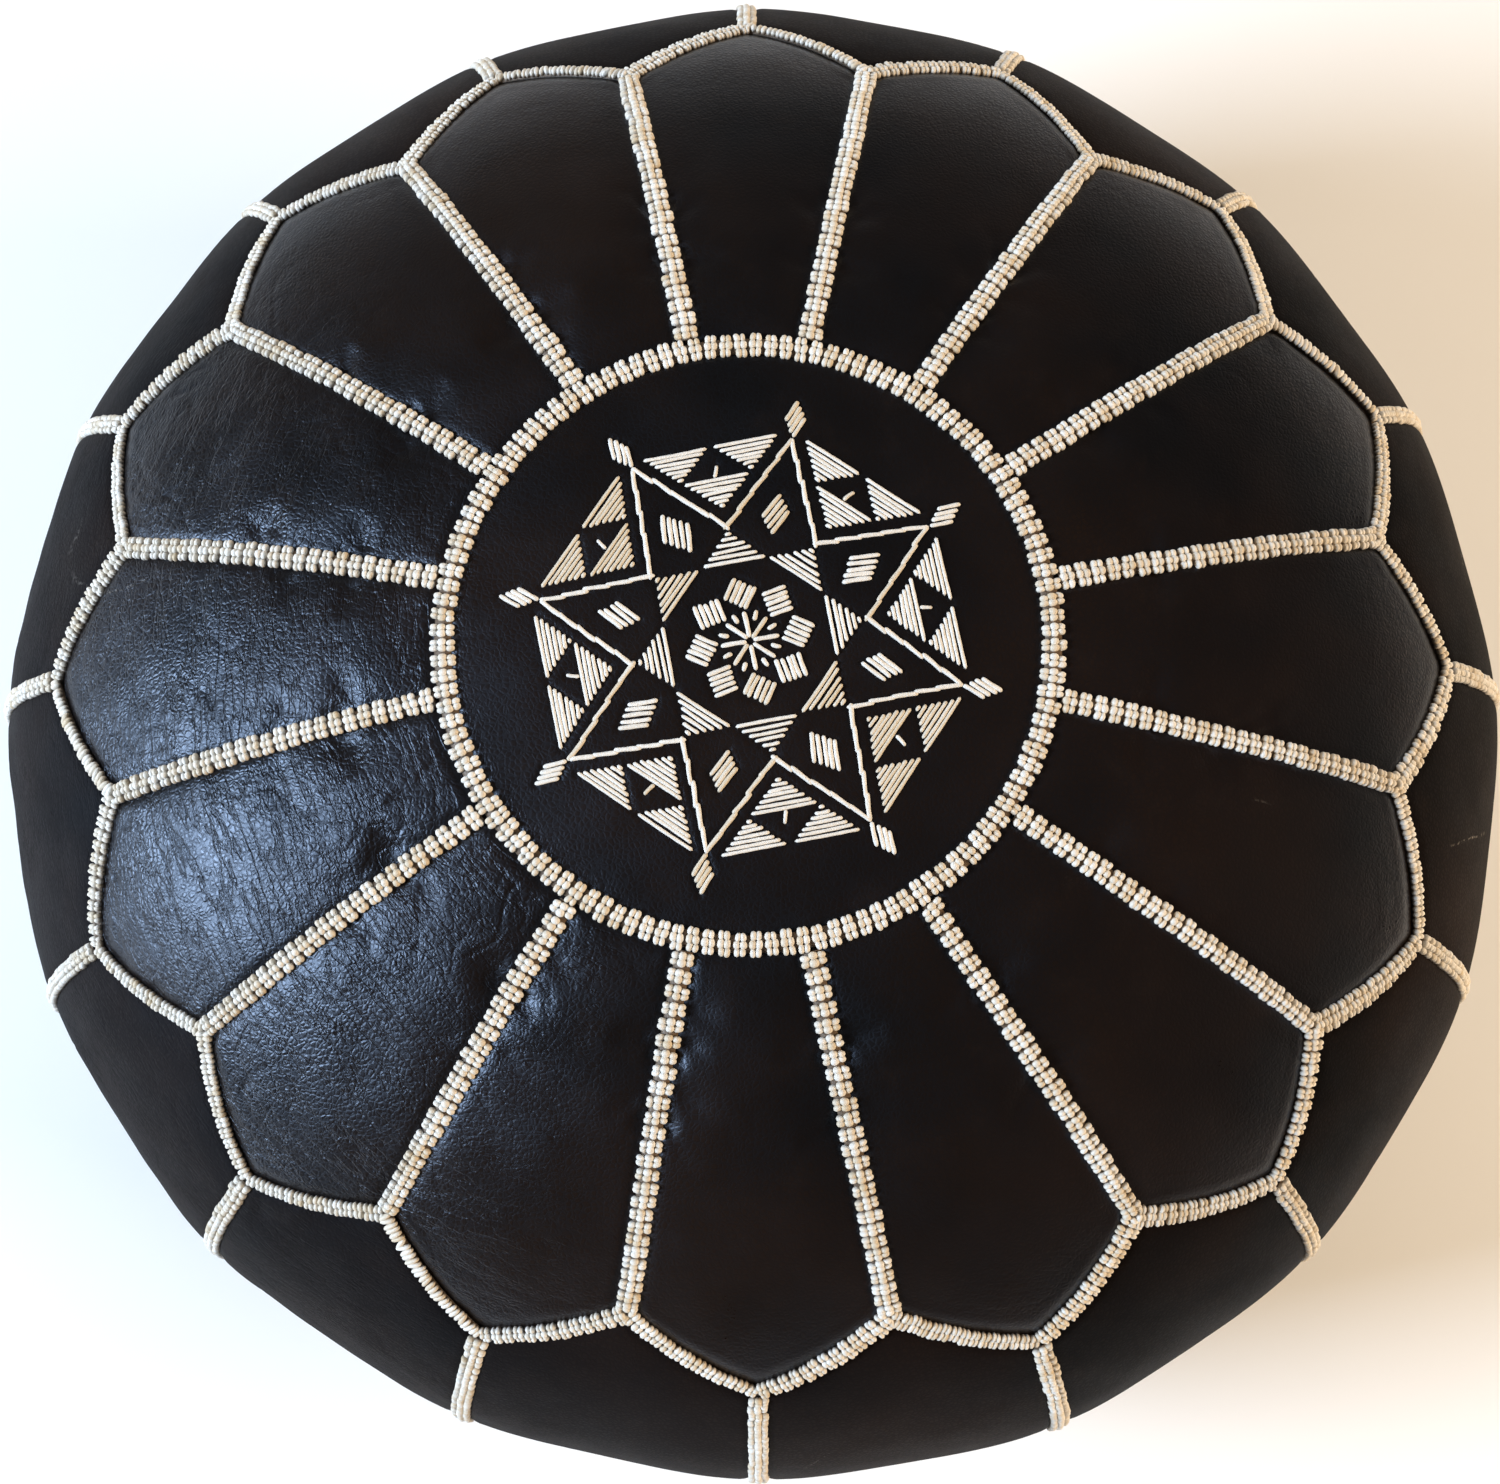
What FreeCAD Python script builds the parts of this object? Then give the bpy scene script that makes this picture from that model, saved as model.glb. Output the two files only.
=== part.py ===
import FreeCAD, Part
import math
import os

# A stuffed round leather pouf, in millimetres. +Z is up and the origin is on the floor, under its centre.
# The cover is a skin of revolution, sewn from a medallion, petals, side panels and a base in two halves.

# Overall shape: a superellipse above the widest level and another below it.
SKIN_RADIUS = 270.0
WIDEST_LEVEL = 155.0
CROWN_RISE = 175.0
LOWER_DROP = 184.5
SKIN_POWER = 2.5

# Layout of the pieces.
PANEL_COUNT = 16
PANEL_ANGLE = 360.0 / PANEL_COUNT
HALF_PANEL = PANEL_ANGLE / 2
MEDALLION_RADIUS = 92.5
VALLEY_RADIUS = 208.0
PEAK_RADIUS = 228.0
PETAL_END_BOW = 0.09
BASE_SEAM_RADIUS = 196.0

# Base: a ring that touches the floor, and a raised middle that keeps the zip off it.
FLOOR_INNER_RADIUS = 146.0
RAISED_RADIUS = 104.0
RAISED_HEIGHT = 16.0

# Thicknesses and gaps.
LEATHER = 2.0
SEAM_GAP = 0.3
LAY_GAP = 0.05
STUFFING_GAP = 0.3

# Braids of white cord over the seams.
BRAID_HEIGHT = 2.8
RING_BRAID_WIDTH = 6.6
SPOKE_BRAID_WIDTH = 6.4
ZIGZAG_BRAID_WIDTH = 5.4
SIDE_BRAID_WIDTH = 6.0

# Embroidered star on the medallion. Radii and lengths are shares of the medallion's radius.
THREAD_HEIGHT = 0.9
STITCH_WIDTH = 1.5
STAR_POINTS = 8
STAR_STEP = 360.0 / STAR_POINTS
STAR_TURN = 3 * HALF_PANEL
STAR_TIP = 0.70
STAR_NOTCH = 0.39
TIP_DIAMOND = (0.764, 0.130, 0.065)
POINT_DIAMOND = (0.435, 0.157, 0.098)
ROSETTE_PETAL = (0.160, 0.105, 0.092)
OUTER_TRIANGLE_RADIUS = 0.705
OUTER_TRIANGLE_SPREAD = 18.7
OUTER_TRIANGLE_APEX = 0.453
INNER_TRIANGLE_BASE = 0.29
INNER_TRIANGLE_APEX = 0.37
PATCH_SHARE = 0.48
ROSETTE_LONG_STITCH = (0.024, 0.085)
ROSETTE_SHORT_STITCH = (0.042, 0.062)
EYE_STITCH = (0.560, 0.610)
OUTLINE_END_SHARE = 0.04

# Zip across the middle of the base, along X.
ZIP_HALF_LENGTH = 103.0
ZIP_SLOT_HALF_WIDTH = 6.5
TAPE_WIDTH = 15.0
TAPE_THICKNESS = 0.7
TAPE_EDGE = 0.9
TAPE_LEVEL = RAISED_HEIGHT + LEATHER + LAY_GAP + TAPE_THICKNESS / 2
TOOTH_PITCH = 4.0
TOOTH_LENGTH = 1.6
TOOTH_INNER = 0.7
TOOTH_OUTER = 3.0
TOOTH_HALF_HEIGHT = 1.4
TOOTH_ROW_HALF_LENGTH = 97.0
STOP_LENGTH = 2.6
STOP_HEIGHT = 1.1
STITCH_ROW_OFFSET = 10.0
STITCH_ROW_HEIGHT = 0.6
TAPE_OVERRUN = 6.0
STUFFING_CHANNEL_MARGIN = (12.0, 2.0, 4.6)

# Slider and its pull.
SLIDER_REST = 91.0
SLIDER_HALF_LENGTH = 5.5
SLIDER_HALF_WIDTH = 4.5
SLIDER_PLATE = 1.2
SLIDER_MOUTH_HALF_HEIGHT = 1.75
SLIDER_RIM = 0.9
SLIDER_TAPE_GAP = 0.6
SLIDER_NECK_HALF_WIDTH = 0.45
SLIDER_NECK_LENGTH = 3.0
BRIDGE_HALF_LENGTH = 3.5
BRIDGE_HALF_WIDTH = 0.9
BRIDGE_BAR = 0.9
BRIDGE_OPENING = 3.4
PULL_PIN_RADIUS = 0.7
PULL_PIN_CLEARANCE = 0.25
PULL_HALF_WIDTH = 2.6
PULL_EYE_HALF_WIDTH = 1.3
PULL_EYE_REACH = 4.4
PULL_REACH = 12.4
PULL_HALF_THICKNESS = 0.6

V = FreeCAD.Vector
AXIS = V(0, 0, 1)
ORIGIN = V(0, 0, 0)
TALL = 400.0
PRISM_FLOOR = WIDEST_LEVEL + 20
BRAID_SWEEP = 6.0


def spin(shape, degrees):
    """A copy of the shape turned about the pouf's axis."""
    turned = shape.copy()
    turned.rotate(ORIGIN, AXIS, degrees)
    return turned


def polar(radius, degrees, z=0.0):
    return V(radius * math.cos(math.radians(degrees)), radius * math.sin(math.radians(degrees)), z)


def box(x, y, z):
    """A block between two limits on each axis."""
    corner = V(x[0], y[0], z[0])
    return Part.makeBox(x[1] - x[0], y[1] - y[0], z[1] - z[0], corner)


def skin(angle, offset=0.0):
    """A point of the skin's outline in the XZ plane, at an angle about its centre, moved out by offset."""
    half_height = CROWN_RISE if angle >= 0 else LOWER_DROP
    across = max(math.cos(angle), 0.0)
    along = abs(math.sin(angle))
    reach = ((across / SKIN_RADIUS) ** SKIN_POWER + (along / half_height) ** SKIN_POWER) ** (-1 / SKIN_POWER)
    x = reach * across
    z = reach * along
    normal_x = (x / SKIN_RADIUS) ** (SKIN_POWER - 1) / SKIN_RADIUS
    normal_z = (z / half_height) ** (SKIN_POWER - 1) / half_height
    size = math.hypot(normal_x, normal_z)
    x += offset * normal_x / size
    z += offset * normal_z / size
    return V(x, 0, WIDEST_LEVEL + (z if angle >= 0 else -z))


def angle_at(radius, above=True):
    """The angle of the skin's point at a radius, above or below the widest level."""
    half_height = CROWN_RISE if above else LOWER_DROP
    height = half_height * (1 - (radius / SKIN_RADIUS) ** SKIN_POWER) ** (1 / SKIN_POWER)
    angle = math.atan2(height, radius)
    return angle if above else -angle


def outline(start, end, offset):
    """The skin's outline between two angles as one smooth curve."""
    spans = max(3, math.ceil(abs(end - start) / math.radians(7)))
    points = [skin(start + (end - start) * n / spans, offset) for n in range(spans + 1)]
    curve = Part.BSplineCurve()
    curve.interpolate(points)
    return curve.toShape()


def closed_face(edges):
    return Part.Face(Part.Wire(Part.__sortEdges__(edges)))


def band(start, end, low, high, turn=360.0):
    """A layer that follows the skin between two angles and two offsets, turned evenly about the XZ plane."""
    outer = outline(start, end, high)
    inner = outline(start, end, low)
    ends = [Part.makeLine(skin(angle, low), skin(angle, high)) for angle in (start, end)]
    solid = closed_face([outer, inner, *ends]).revolve(ORIGIN, AXIS, turn)
    return spin(solid, -turn / 2)


def zigzag(valley, peak, middle_is_peak):
    """One repeat of the line where the petals end, as arcs that bow outward."""
    turns = (-HALF_PANEL, 0.0, HALF_PANEL)
    radii = (valley, peak, valley) if middle_is_peak else (peak, valley, peak)
    corners = [polar(radius, turn) for radius, turn in zip(radii, turns)]
    arcs = []
    for start, end in zip(corners, corners[1:]):
        run = end - start
        outward = V(run.y, -run.x, 0)
        crest = (start + end) * 0.5 + outward * PETAL_END_BOW
        arcs.append(Part.Arc(start, crest, end).toShape())
    return arcs, corners


def crown_prism(grow, middle_is_peak):
    """Everything above the widest level inside the zigzag line, moved out by grow, for one repeat."""
    arcs, corners = zigzag(VALLEY_RADIUS + grow, PEAK_RADIUS + grow, middle_is_peak)
    sides = [Part.makeLine(ORIGIN, corners[0]), Part.makeLine(corners[-1], ORIGIN)]
    prism = closed_face([*sides, *arcs]).extrude(V(0, 0, TALL))
    prism.translate(V(0, 0, PRISM_FLOOR))
    return prism


def sector_turn(radius):
    """The turn of one panel, less a seam gap measured at a radius."""
    return PANEL_ANGLE - math.degrees(SEAM_GAP / radius)


def make_medallion():
    edge = angle_at(MEDALLION_RADIUS - SEAM_GAP / 2)
    return band(math.pi / 2, edge, -LEATHER, 0.0)


def make_petal():
    start = angle_at(MEDALLION_RADIUS + SEAM_GAP / 2)
    end = angle_at(PEAK_RADIUS + 4)
    sector = band(start, end, -LEATHER, 0.0, sector_turn(VALLEY_RADIUS))
    return sector.common(crown_prism(-SEAM_GAP / 2, True))


def make_side_panel():
    start = angle_at(VALLEY_RADIUS - 4)
    end = angle_at(BASE_SEAM_RADIUS, above=False)
    sector = band(start, end, -LEATHER, 0.0, sector_turn(SKIN_RADIUS))
    return sector.cut(crown_prism(SEAM_GAP / 2, False))


def arc_about(x, z, radius, start, end):
    """An arc in the XZ plane about (x, z). Angles run from straight down, towards +X."""
    angles = (start, (start + end) / 2, end)
    points = [V(x + radius * math.sin(angle), 0, z - radius * math.cos(angle)) for angle in angles]
    return Part.Arc(*points).toShape(), points[0], points[-1]


def base_edges(depth):
    """The base's outline from its seam to the axis, moved in by depth, as tangent arcs and lines."""
    seam_angle = angle_at(BASE_SEAM_RADIUS, above=False)
    seam = skin(seam_angle)
    outward = skin(seam_angle, 1.0) - seam
    slope = math.atan2(outward.x, -outward.z)
    roll = seam.z / (1 - math.cos(slope))
    floor_radius = seam.x - roll * math.sin(slope)
    rise_width = FLOOR_INNER_RADIUS - RAISED_RADIUS
    curl = (rise_width ** 2 + RAISED_HEIGHT ** 2) / (4 * RAISED_HEIGHT)
    turn = 2 * math.atan2(RAISED_HEIGHT, rise_width)
    outer_arc, seam_end, floor_start = arc_about(floor_radius, roll, roll - depth, slope, 0.0)
    lower_arc, floor_end, _ = arc_about(FLOOR_INNER_RADIUS, curl, curl - depth, 0.0, -turn)
    upper_arc, _, raised = arc_about(
        RAISED_RADIUS, RAISED_HEIGHT - curl, curl + depth, math.pi - turn, math.pi
    )
    centre = V(0, 0, RAISED_HEIGHT + depth)
    floor_line = Part.makeLine(floor_start, floor_end)
    raised_line = Part.makeLine(raised, centre)
    return [outer_arc, floor_line, lower_arc, upper_arc, raised_line], seam_end, centre


def make_base_half():
    """The half of the base on the +Y side."""
    under, under_seam, under_centre = base_edges(0.0)
    over, over_seam, over_centre = base_edges(LEATHER)
    ends = [Part.makeLine(under_seam, over_seam), Part.makeLine(under_centre, over_centre)]
    half = closed_face([*under, *over, *ends]).revolve(ORIGIN, AXIS, 180)
    slot_end = ZIP_HALF_LENGTH + STOP_LENGTH
    middle_seam = box((-TALL, TALL), (-TALL, SEAM_GAP / 2), (-TALL, TALL))
    slot = box((-slot_end, slot_end), (-TALL, ZIP_SLOT_HALF_WIDTH), (-TALL, TALL))
    return half.cut(middle_seam).cut(slot)


def make_filling():
    """The stuffing, with a shallow channel that leaves room for the zip."""
    depth = LEATHER + STUFFING_GAP
    under, _, centre = base_edges(depth)
    seam_angle = angle_at(BASE_SEAM_RADIUS, above=False)
    lower = outline(seam_angle, 0.0, -depth)
    upper = outline(0.0, math.pi / 2, -depth)
    spine = Part.makeLine(skin(math.pi / 2, -depth), centre)
    stuffing = closed_face([*under, lower, upper, spine]).revolve(ORIGIN, AXIS, 360)
    beyond, beside, above = STUFFING_CHANNEL_MARGIN
    x = ZIP_HALF_LENGTH + beyond
    y = TAPE_EDGE + TAPE_WIDTH + beside
    return stuffing.cut(box((-x, x), (-y, y), (0, TAPE_LEVEL + above)))


def make_ring_braid():
    start = angle_at(MEDALLION_RADIUS - RING_BRAID_WIDTH / 2)
    end = angle_at(MEDALLION_RADIUS + RING_BRAID_WIDTH / 2)
    return band(start, end, LAY_GAP, BRAID_HEIGHT)


def make_radial_braid(start, end, width):
    layer = band(start, end, LAY_GAP, BRAID_HEIGHT, BRAID_SWEEP)
    return layer.common(box((0, TALL), (-width / 2, width / 2), (-TALL, TALL)))


def make_spoke_braid():
    start = angle_at(MEDALLION_RADIUS + RING_BRAID_WIDTH / 2 + SEAM_GAP)
    end = angle_at(VALLEY_RADIUS - ZIGZAG_BRAID_WIDTH / 2 - 1)
    return make_radial_braid(start, end, SPOKE_BRAID_WIDTH)


def make_side_braid():
    start = angle_at(PEAK_RADIUS + ZIGZAG_BRAID_WIDTH / 2 + 1)
    end = angle_at(BASE_SEAM_RADIUS + 2, above=False)
    return make_radial_braid(start, end, SIDE_BRAID_WIDTH)


def make_zigzag_braid():
    """The braid along one petal's end."""
    slant = math.atan2(PEAK_RADIUS - VALLEY_RADIUS, VALLEY_RADIUS * math.radians(HALF_PANEL))
    grow = ZIGZAG_BRAID_WIDTH / 2 / math.cos(slant)
    start = angle_at(VALLEY_RADIUS - 2 * ZIGZAG_BRAID_WIDTH)
    end = angle_at(PEAK_RADIUS + 2 * ZIGZAG_BRAID_WIDTH)
    layer = band(start, end, LAY_GAP, BRAID_HEIGHT, sector_turn(VALLEY_RADIUS))
    return layer.common(crown_prism(grow, True)).cut(crown_prism(-grow, True))


def thread_patch(points):
    """A closed patch of thread over an outline, lying on the medallion."""
    loop = Part.makePolygon([*points, points[0]])
    prism = Part.Face(loop).extrude(V(0, 0, TALL))
    prism.translate(V(0, 0, PRISM_FLOOR))
    return prism.common(MEDALLION_THREAD_LAYER)


def star_point(share, degrees):
    return polar(share * MEDALLION_RADIUS, degrees)


def long_stitch(start, end):
    """A straight line of stitches between two points."""
    run = (end - start).normalize()
    side = V(-run.y, run.x, 0) * (STITCH_WIDTH / 2)
    return thread_patch([start + side, end + side, end - side, start - side])


def radial_stitch(span, degrees):
    return long_stitch(star_point(span[0], degrees), star_point(span[1], degrees))


def radial_rectangle(middle, length, width, degrees):
    """A rectangle whose length points away from the centre."""
    along = polar(1, degrees)
    across = V(-along.y, along.x, 0)
    centre = star_point(middle, degrees)
    half = along * (length * MEDALLION_RADIUS / 2)
    side = across * (width * MEDALLION_RADIUS / 2)
    return centre, half, side


def make_diamond(size, degrees):
    centre, half, side = radial_rectangle(*size, degrees)
    return thread_patch([centre + half, centre + side, centre - half, centre - side])


def make_rosette_petal(degrees):
    centre, half, side = radial_rectangle(*ROSETTE_PETAL, degrees)
    outer = [centre + half + side, centre + half - side]
    return thread_patch([*outer, centre - half - side, centre - half + side])


def make_outline_stitches(degrees):
    tip = star_point(STAR_TIP, degrees)
    notches = [star_point(STAR_NOTCH, degrees + side * STAR_STEP / 2) for side in (-1, 1)]
    lines = [(tip, (notch - tip) * OUTLINE_END_SHARE, notch) for notch in notches]
    return [long_stitch(start + gap, end - gap) for start, gap, end in lines]


def make_outer_triangle(degrees):
    """Three satin triangles round a bare one, with one short stitch in the bare one."""
    middle = degrees + STAR_STEP / 2
    corners = [star_point(OUTER_TRIANGLE_RADIUS, middle + side * OUTER_TRIANGLE_SPREAD) for side in (-1, 1)]
    corners.append(star_point(OUTER_TRIANGLE_APEX, middle))
    patches = []
    for corner in corners:
        others = [other for other in corners if other is not corner]
        inset = [corner + (other - corner) * PATCH_SHARE for other in others]
        patches.append(thread_patch([corner, *inset]))
    patches.append(radial_stitch(EYE_STITCH, middle))
    return patches


def make_inner_triangle(degrees):
    base = [star_point(INNER_TRIANGLE_BASE, degrees + turn) for turn in (2, STAR_STEP - 2)]
    return thread_patch([*base, star_point(INNER_TRIANGLE_APEX, degrees + STAR_STEP / 2)])


def make_rosette_star(degrees):
    """A long stitch and the short one beside it."""
    beside = degrees + STAR_STEP / 2
    return [radial_stitch(ROSETTE_LONG_STITCH, degrees), radial_stitch(ROSETTE_SHORT_STITCH, beside)]


def make_zip_tape(side):
    """One woven tape, under the leather's edge, on the side of Y given by side."""
    y = sorted((side * TAPE_EDGE, side * (TAPE_EDGE + TAPE_WIDTH)))
    low = TAPE_LEVEL - TAPE_THICKNESS / 2
    x = ZIP_HALF_LENGTH + TAPE_OVERRUN
    return box((-x, x), y, (low, low + TAPE_THICKNESS))


def make_tooth(side, x):
    """A tooth clamped round its tape's edge."""
    y = sorted((side * TOOTH_INNER, side * TOOTH_OUTER))
    z = (TAPE_LEVEL - TOOTH_HALF_HEIGHT, TAPE_LEVEL + TOOTH_HALF_HEIGHT)
    block = box((x - TOOTH_LENGTH / 2, x + TOOTH_LENGTH / 2), y, z)
    groove_y = sorted((side * (TAPE_EDGE - LAY_GAP), side * (TOOTH_OUTER + 1)))
    half = TAPE_THICKNESS / 2 + LAY_GAP
    groove = box((x - TOOTH_LENGTH, x + TOOTH_LENGTH), groove_y, (TAPE_LEVEL - half, TAPE_LEVEL + half))
    return block.cut(groove)


def make_tooth_row(side):
    """Teeth a pitch apart. The two rows stand half a pitch from each other."""
    shift = TOOTH_PITCH / 4 * side
    count = int(2 * TOOTH_ROW_HALF_LENGTH // TOOTH_PITCH)
    first = -TOOTH_PITCH * (count - 1) / 2
    return [make_tooth(side, first + TOOTH_PITCH * n + shift) for n in range(count)]


def make_stops():
    """Two top stops, one on each tape, and one bottom stop that joins the tapes."""
    low = TAPE_LEVEL + TAPE_THICKNESS / 2 + LAY_GAP
    z = (low, low + STOP_HEIGHT)
    top_x = (ZIP_HALF_LENGTH - STOP_LENGTH, ZIP_HALF_LENGTH)
    tops = [box(top_x, sorted((side * TAPE_EDGE, side * TOOTH_OUTER)), z) for side in (-1, 1)]
    bottom_x = (-ZIP_HALF_LENGTH, -ZIP_HALF_LENGTH + STOP_LENGTH)
    return tops, box(bottom_x, (-TOOTH_OUTER, TOOTH_OUTER), z)


def make_zip_stitching():
    """A row of thread on each side of the zip, on the underside of the leather."""
    z = (RAISED_HEIGHT - LAY_GAP - STITCH_ROW_HEIGHT, RAISED_HEIGHT - LAY_GAP)
    rows = []
    for side in (-1, 1):
        y = sorted((side * STITCH_ROW_OFFSET, side * (STITCH_ROW_OFFSET + STITCH_WIDTH / 2)))
        rows.append(box((-RAISED_RADIUS, RAISED_RADIUS), y, z))
    return rows


def make_slider():
    """Two plates round the teeth, joined by a neck, with a bridge below that holds the pull."""
    x = (SLIDER_REST - SLIDER_HALF_LENGTH, SLIDER_REST + SLIDER_HALF_LENGTH)
    y = (-SLIDER_HALF_WIDTH, SLIDER_HALF_WIDTH)
    mouth = SLIDER_MOUTH_HALF_HEIGHT
    solid = box(
        (x[1] - SLIDER_NECK_LENGTH, x[1]),
        (-SLIDER_NECK_HALF_WIDTH, SLIDER_NECK_HALF_WIDTH),
        (TAPE_LEVEL - mouth, TAPE_LEVEL + mouth),
    )
    for up in (-1, 1):
        plate_z = sorted((TAPE_LEVEL + up * mouth, TAPE_LEVEL + up * (mouth + SLIDER_PLATE)))
        rim_z = sorted((TAPE_LEVEL + up * SLIDER_TAPE_GAP, TAPE_LEVEL + up * mouth))
        solid = solid.fuse(box(x, y, plate_z))
        for side in (-1, 1):
            rim_y = sorted((side * SLIDER_HALF_WIDTH, side * (SLIDER_HALF_WIDTH - SLIDER_RIM)))
            solid = solid.fuse(box(x, rim_y, rim_z))
    top = TAPE_LEVEL - mouth - SLIDER_PLATE
    bottom = top - BRIDGE_OPENING - BRIDGE_BAR
    span = (SLIDER_REST - BRIDGE_HALF_LENGTH, SLIDER_REST + BRIDGE_HALF_LENGTH)
    bridge = box(span, (-BRIDGE_HALF_WIDTH, BRIDGE_HALF_WIDTH), (bottom, top))
    inside = (span[0] + BRIDGE_BAR, span[1] - BRIDGE_BAR)
    opening = box(inside, (-BRIDGE_HALF_WIDTH, BRIDGE_HALF_WIDTH), (bottom + BRIDGE_BAR, top))
    return solid.fuse(bridge.cut(opening)).removeSplitter()


def pull_level():
    """Height of the pull's pin, just above the bridge's bar."""
    top = TAPE_LEVEL - SLIDER_MOUTH_HALF_HEIGHT - SLIDER_PLATE
    return top - BRIDGE_OPENING + PULL_PIN_RADIUS + PULL_PIN_CLEARANCE


def make_pull():
    """A short tab that hangs from its own pin, with an eye round the bridge."""
    level = pull_level()
    pin_start = V(SLIDER_REST, -PULL_HALF_WIDTH, level)
    pin = Part.makeCylinder(PULL_PIN_RADIUS, 2 * PULL_HALF_WIDTH, pin_start, V(0, 1, 0))
    x = (SLIDER_REST - PULL_HALF_THICKNESS, SLIDER_REST + PULL_HALF_THICKNESS)
    tab_end = level - PULL_REACH + PULL_HALF_WIDTH
    tab = box(x, (-PULL_HALF_WIDTH, PULL_HALF_WIDTH), (tab_end, level))
    round_start = V(x[0], 0, tab_end)
    round_end = Part.makeCylinder(PULL_HALF_WIDTH, 2 * PULL_HALF_THICKNESS, round_start, V(1, 0, 0))
    eye = box(x, (-PULL_EYE_HALF_WIDTH, PULL_EYE_HALF_WIDTH), (level - PULL_EYE_REACH, level))
    return tab.fuse(round_end).cut(eye).fuse(pin).removeSplitter()


def around(piece, start=0.0, count=PANEL_COUNT):
    """Copies of a piece evenly about the pouf's axis, the first one turned to start."""
    return [spin(piece, start + 360.0 / count * n) for n in range(count)]


def star(make, start=STAR_TURN):
    """The solids that make(degrees) returns for each point of the star."""
    return [solid for n in range(STAR_POINTS) for solid in make(start + STAR_STEP * n)]


def save(name, solids):
    shape = solids[0] if len(solids) == 1 else Part.makeCompound(solids)
    for solid in shape.Solids:
        assert solid.isValid(), name
    shape.exportStep(f"parts/{name}.step")
    print(f"{name}: {len(shape.Solids)} solids, {shape.Volume:.0f} mm3")


os.makedirs("parts", exist_ok=True)
MEDALLION_THREAD_LAYER = band(math.pi / 2, angle_at(0.9 * MEDALLION_RADIUS), LAY_GAP, THREAD_HEIGHT)

save("top_medallion", [make_medallion()])
for number, petal in enumerate(around(make_petal()), 1):
    save(f"top_petal_{number:02d}", [petal])
for number, side_panel in enumerate(around(make_side_panel(), HALF_PANEL), 1):
    save(f"side_panel_{number:02d}", [side_panel])

back_half = make_base_half()
save("base_half_back", [back_half])
save("base_half_front", [spin(back_half, 180)])
save("filling", [make_filling()])

save("medallion_ring_braid", [make_ring_braid()])
save("spoke_braids", around(make_spoke_braid(), HALF_PANEL))
save("zigzag_braids", around(make_zigzag_braid()))
save("side_seam_braids", around(make_side_braid()))

between_points = STAR_TURN + STAR_STEP / 2
save("star_outline_thread", star(make_outline_stitches))
save("tip_diamond_thread", star(lambda turn: [make_diamond(TIP_DIAMOND, turn)]))
save("point_diamond_thread", star(lambda turn: [make_diamond(POINT_DIAMOND, turn)]))
save("outer_triangle_thread", star(make_outer_triangle))
save("inner_triangle_thread", star(lambda turn: [make_inner_triangle(turn)]))
save("rosette_petal_thread", star(lambda turn: [make_rosette_petal(turn)], between_points))
save("rosette_star_thread", star(make_rosette_star, between_points))

top_stops, bottom_stop = make_stops()
for side_name, side in (("front", -1), ("back", 1)):
    save(f"zip_tape_{side_name}", [make_zip_tape(side)])
    save(f"zip_teeth_{side_name}", make_tooth_row(side))
save("zip_top_stops", top_stops)
save("zip_bottom_stop", [bottom_stop])
save("zip_stitching", make_zip_stitching())
save("zip_slider", [make_slider()])
save("zip_pull", [make_pull()])
print(f"pull pin at {pull_level():.2f} mm, widest level {WIDEST_LEVEL:.0f} mm")
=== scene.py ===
import itertools
import math

import bmesh
import bpy
import numpy as np
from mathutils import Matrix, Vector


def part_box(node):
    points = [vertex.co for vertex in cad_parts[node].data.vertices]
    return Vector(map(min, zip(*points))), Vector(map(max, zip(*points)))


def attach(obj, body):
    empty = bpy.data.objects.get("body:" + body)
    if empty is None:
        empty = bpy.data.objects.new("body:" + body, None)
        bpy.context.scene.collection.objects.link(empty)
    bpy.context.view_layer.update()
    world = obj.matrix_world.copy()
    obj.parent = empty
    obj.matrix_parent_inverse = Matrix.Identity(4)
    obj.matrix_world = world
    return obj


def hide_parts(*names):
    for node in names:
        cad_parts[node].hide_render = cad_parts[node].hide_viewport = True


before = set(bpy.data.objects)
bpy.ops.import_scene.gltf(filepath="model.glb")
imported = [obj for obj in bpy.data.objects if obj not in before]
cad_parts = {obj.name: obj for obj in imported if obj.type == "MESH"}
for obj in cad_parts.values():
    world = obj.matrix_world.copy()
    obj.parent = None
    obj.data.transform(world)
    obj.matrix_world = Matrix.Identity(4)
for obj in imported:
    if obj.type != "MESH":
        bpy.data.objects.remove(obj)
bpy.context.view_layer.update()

# A stuffed leather pouf. Lengths are in metres, angles in radians, and the axis of the pouf is Z.
MM = 0.001
TAU = 2 * math.pi
rng = np.random.default_rng(16)
LATTICE = rng.uniform(-1, 1, (48, 48, 48))

# The skin of the part: a superellipse above its widest level, and another below it.
SKIN_RADIUS = 270 * MM
WIDEST_LEVEL = 155 * MM
CROWN_RISE = 175 * MM
LOWER_DROP = 184.5 * MM
SKIN_POWER = 2.5

# Places of the seams.
PANELS = 16
PANEL_ANGLE = TAU / PANELS
HALF_PANEL = PANEL_ANGLE / 2
MEDALLION_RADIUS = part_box("medallion_ring_braid")[1].x - 3.7 * MM
VALLEY_RADIUS = 208 * MM
PEAK_RADIUS = 228 * MM
END_BOW = 0.055
BASE_SEAM_RADIUS = 196 * MM

# The base: it rests on a ring, and its middle is raised.
FLOOR_INNER_RADIUS = 146 * MM
RAISED_RADIUS = 104 * MM
RAISED_HEIGHT = 16 * MM

# How this one pouf differs from a true figure of revolution.
TOP_TWIST = math.radians(0.45)
RING_SHIFT = (-1.2 * MM, 0.3 * MM)
SIDE_FLATTENING = 2.0 * MM
# Waves round the rim: how many, how far out they reach and the azimuth where they do, in degrees.
RIM_WAVES = ((1, 1.4 * MM, -31), (2, 1.3 * MM, -31), (3, 1.9 * MM, -42))

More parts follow.
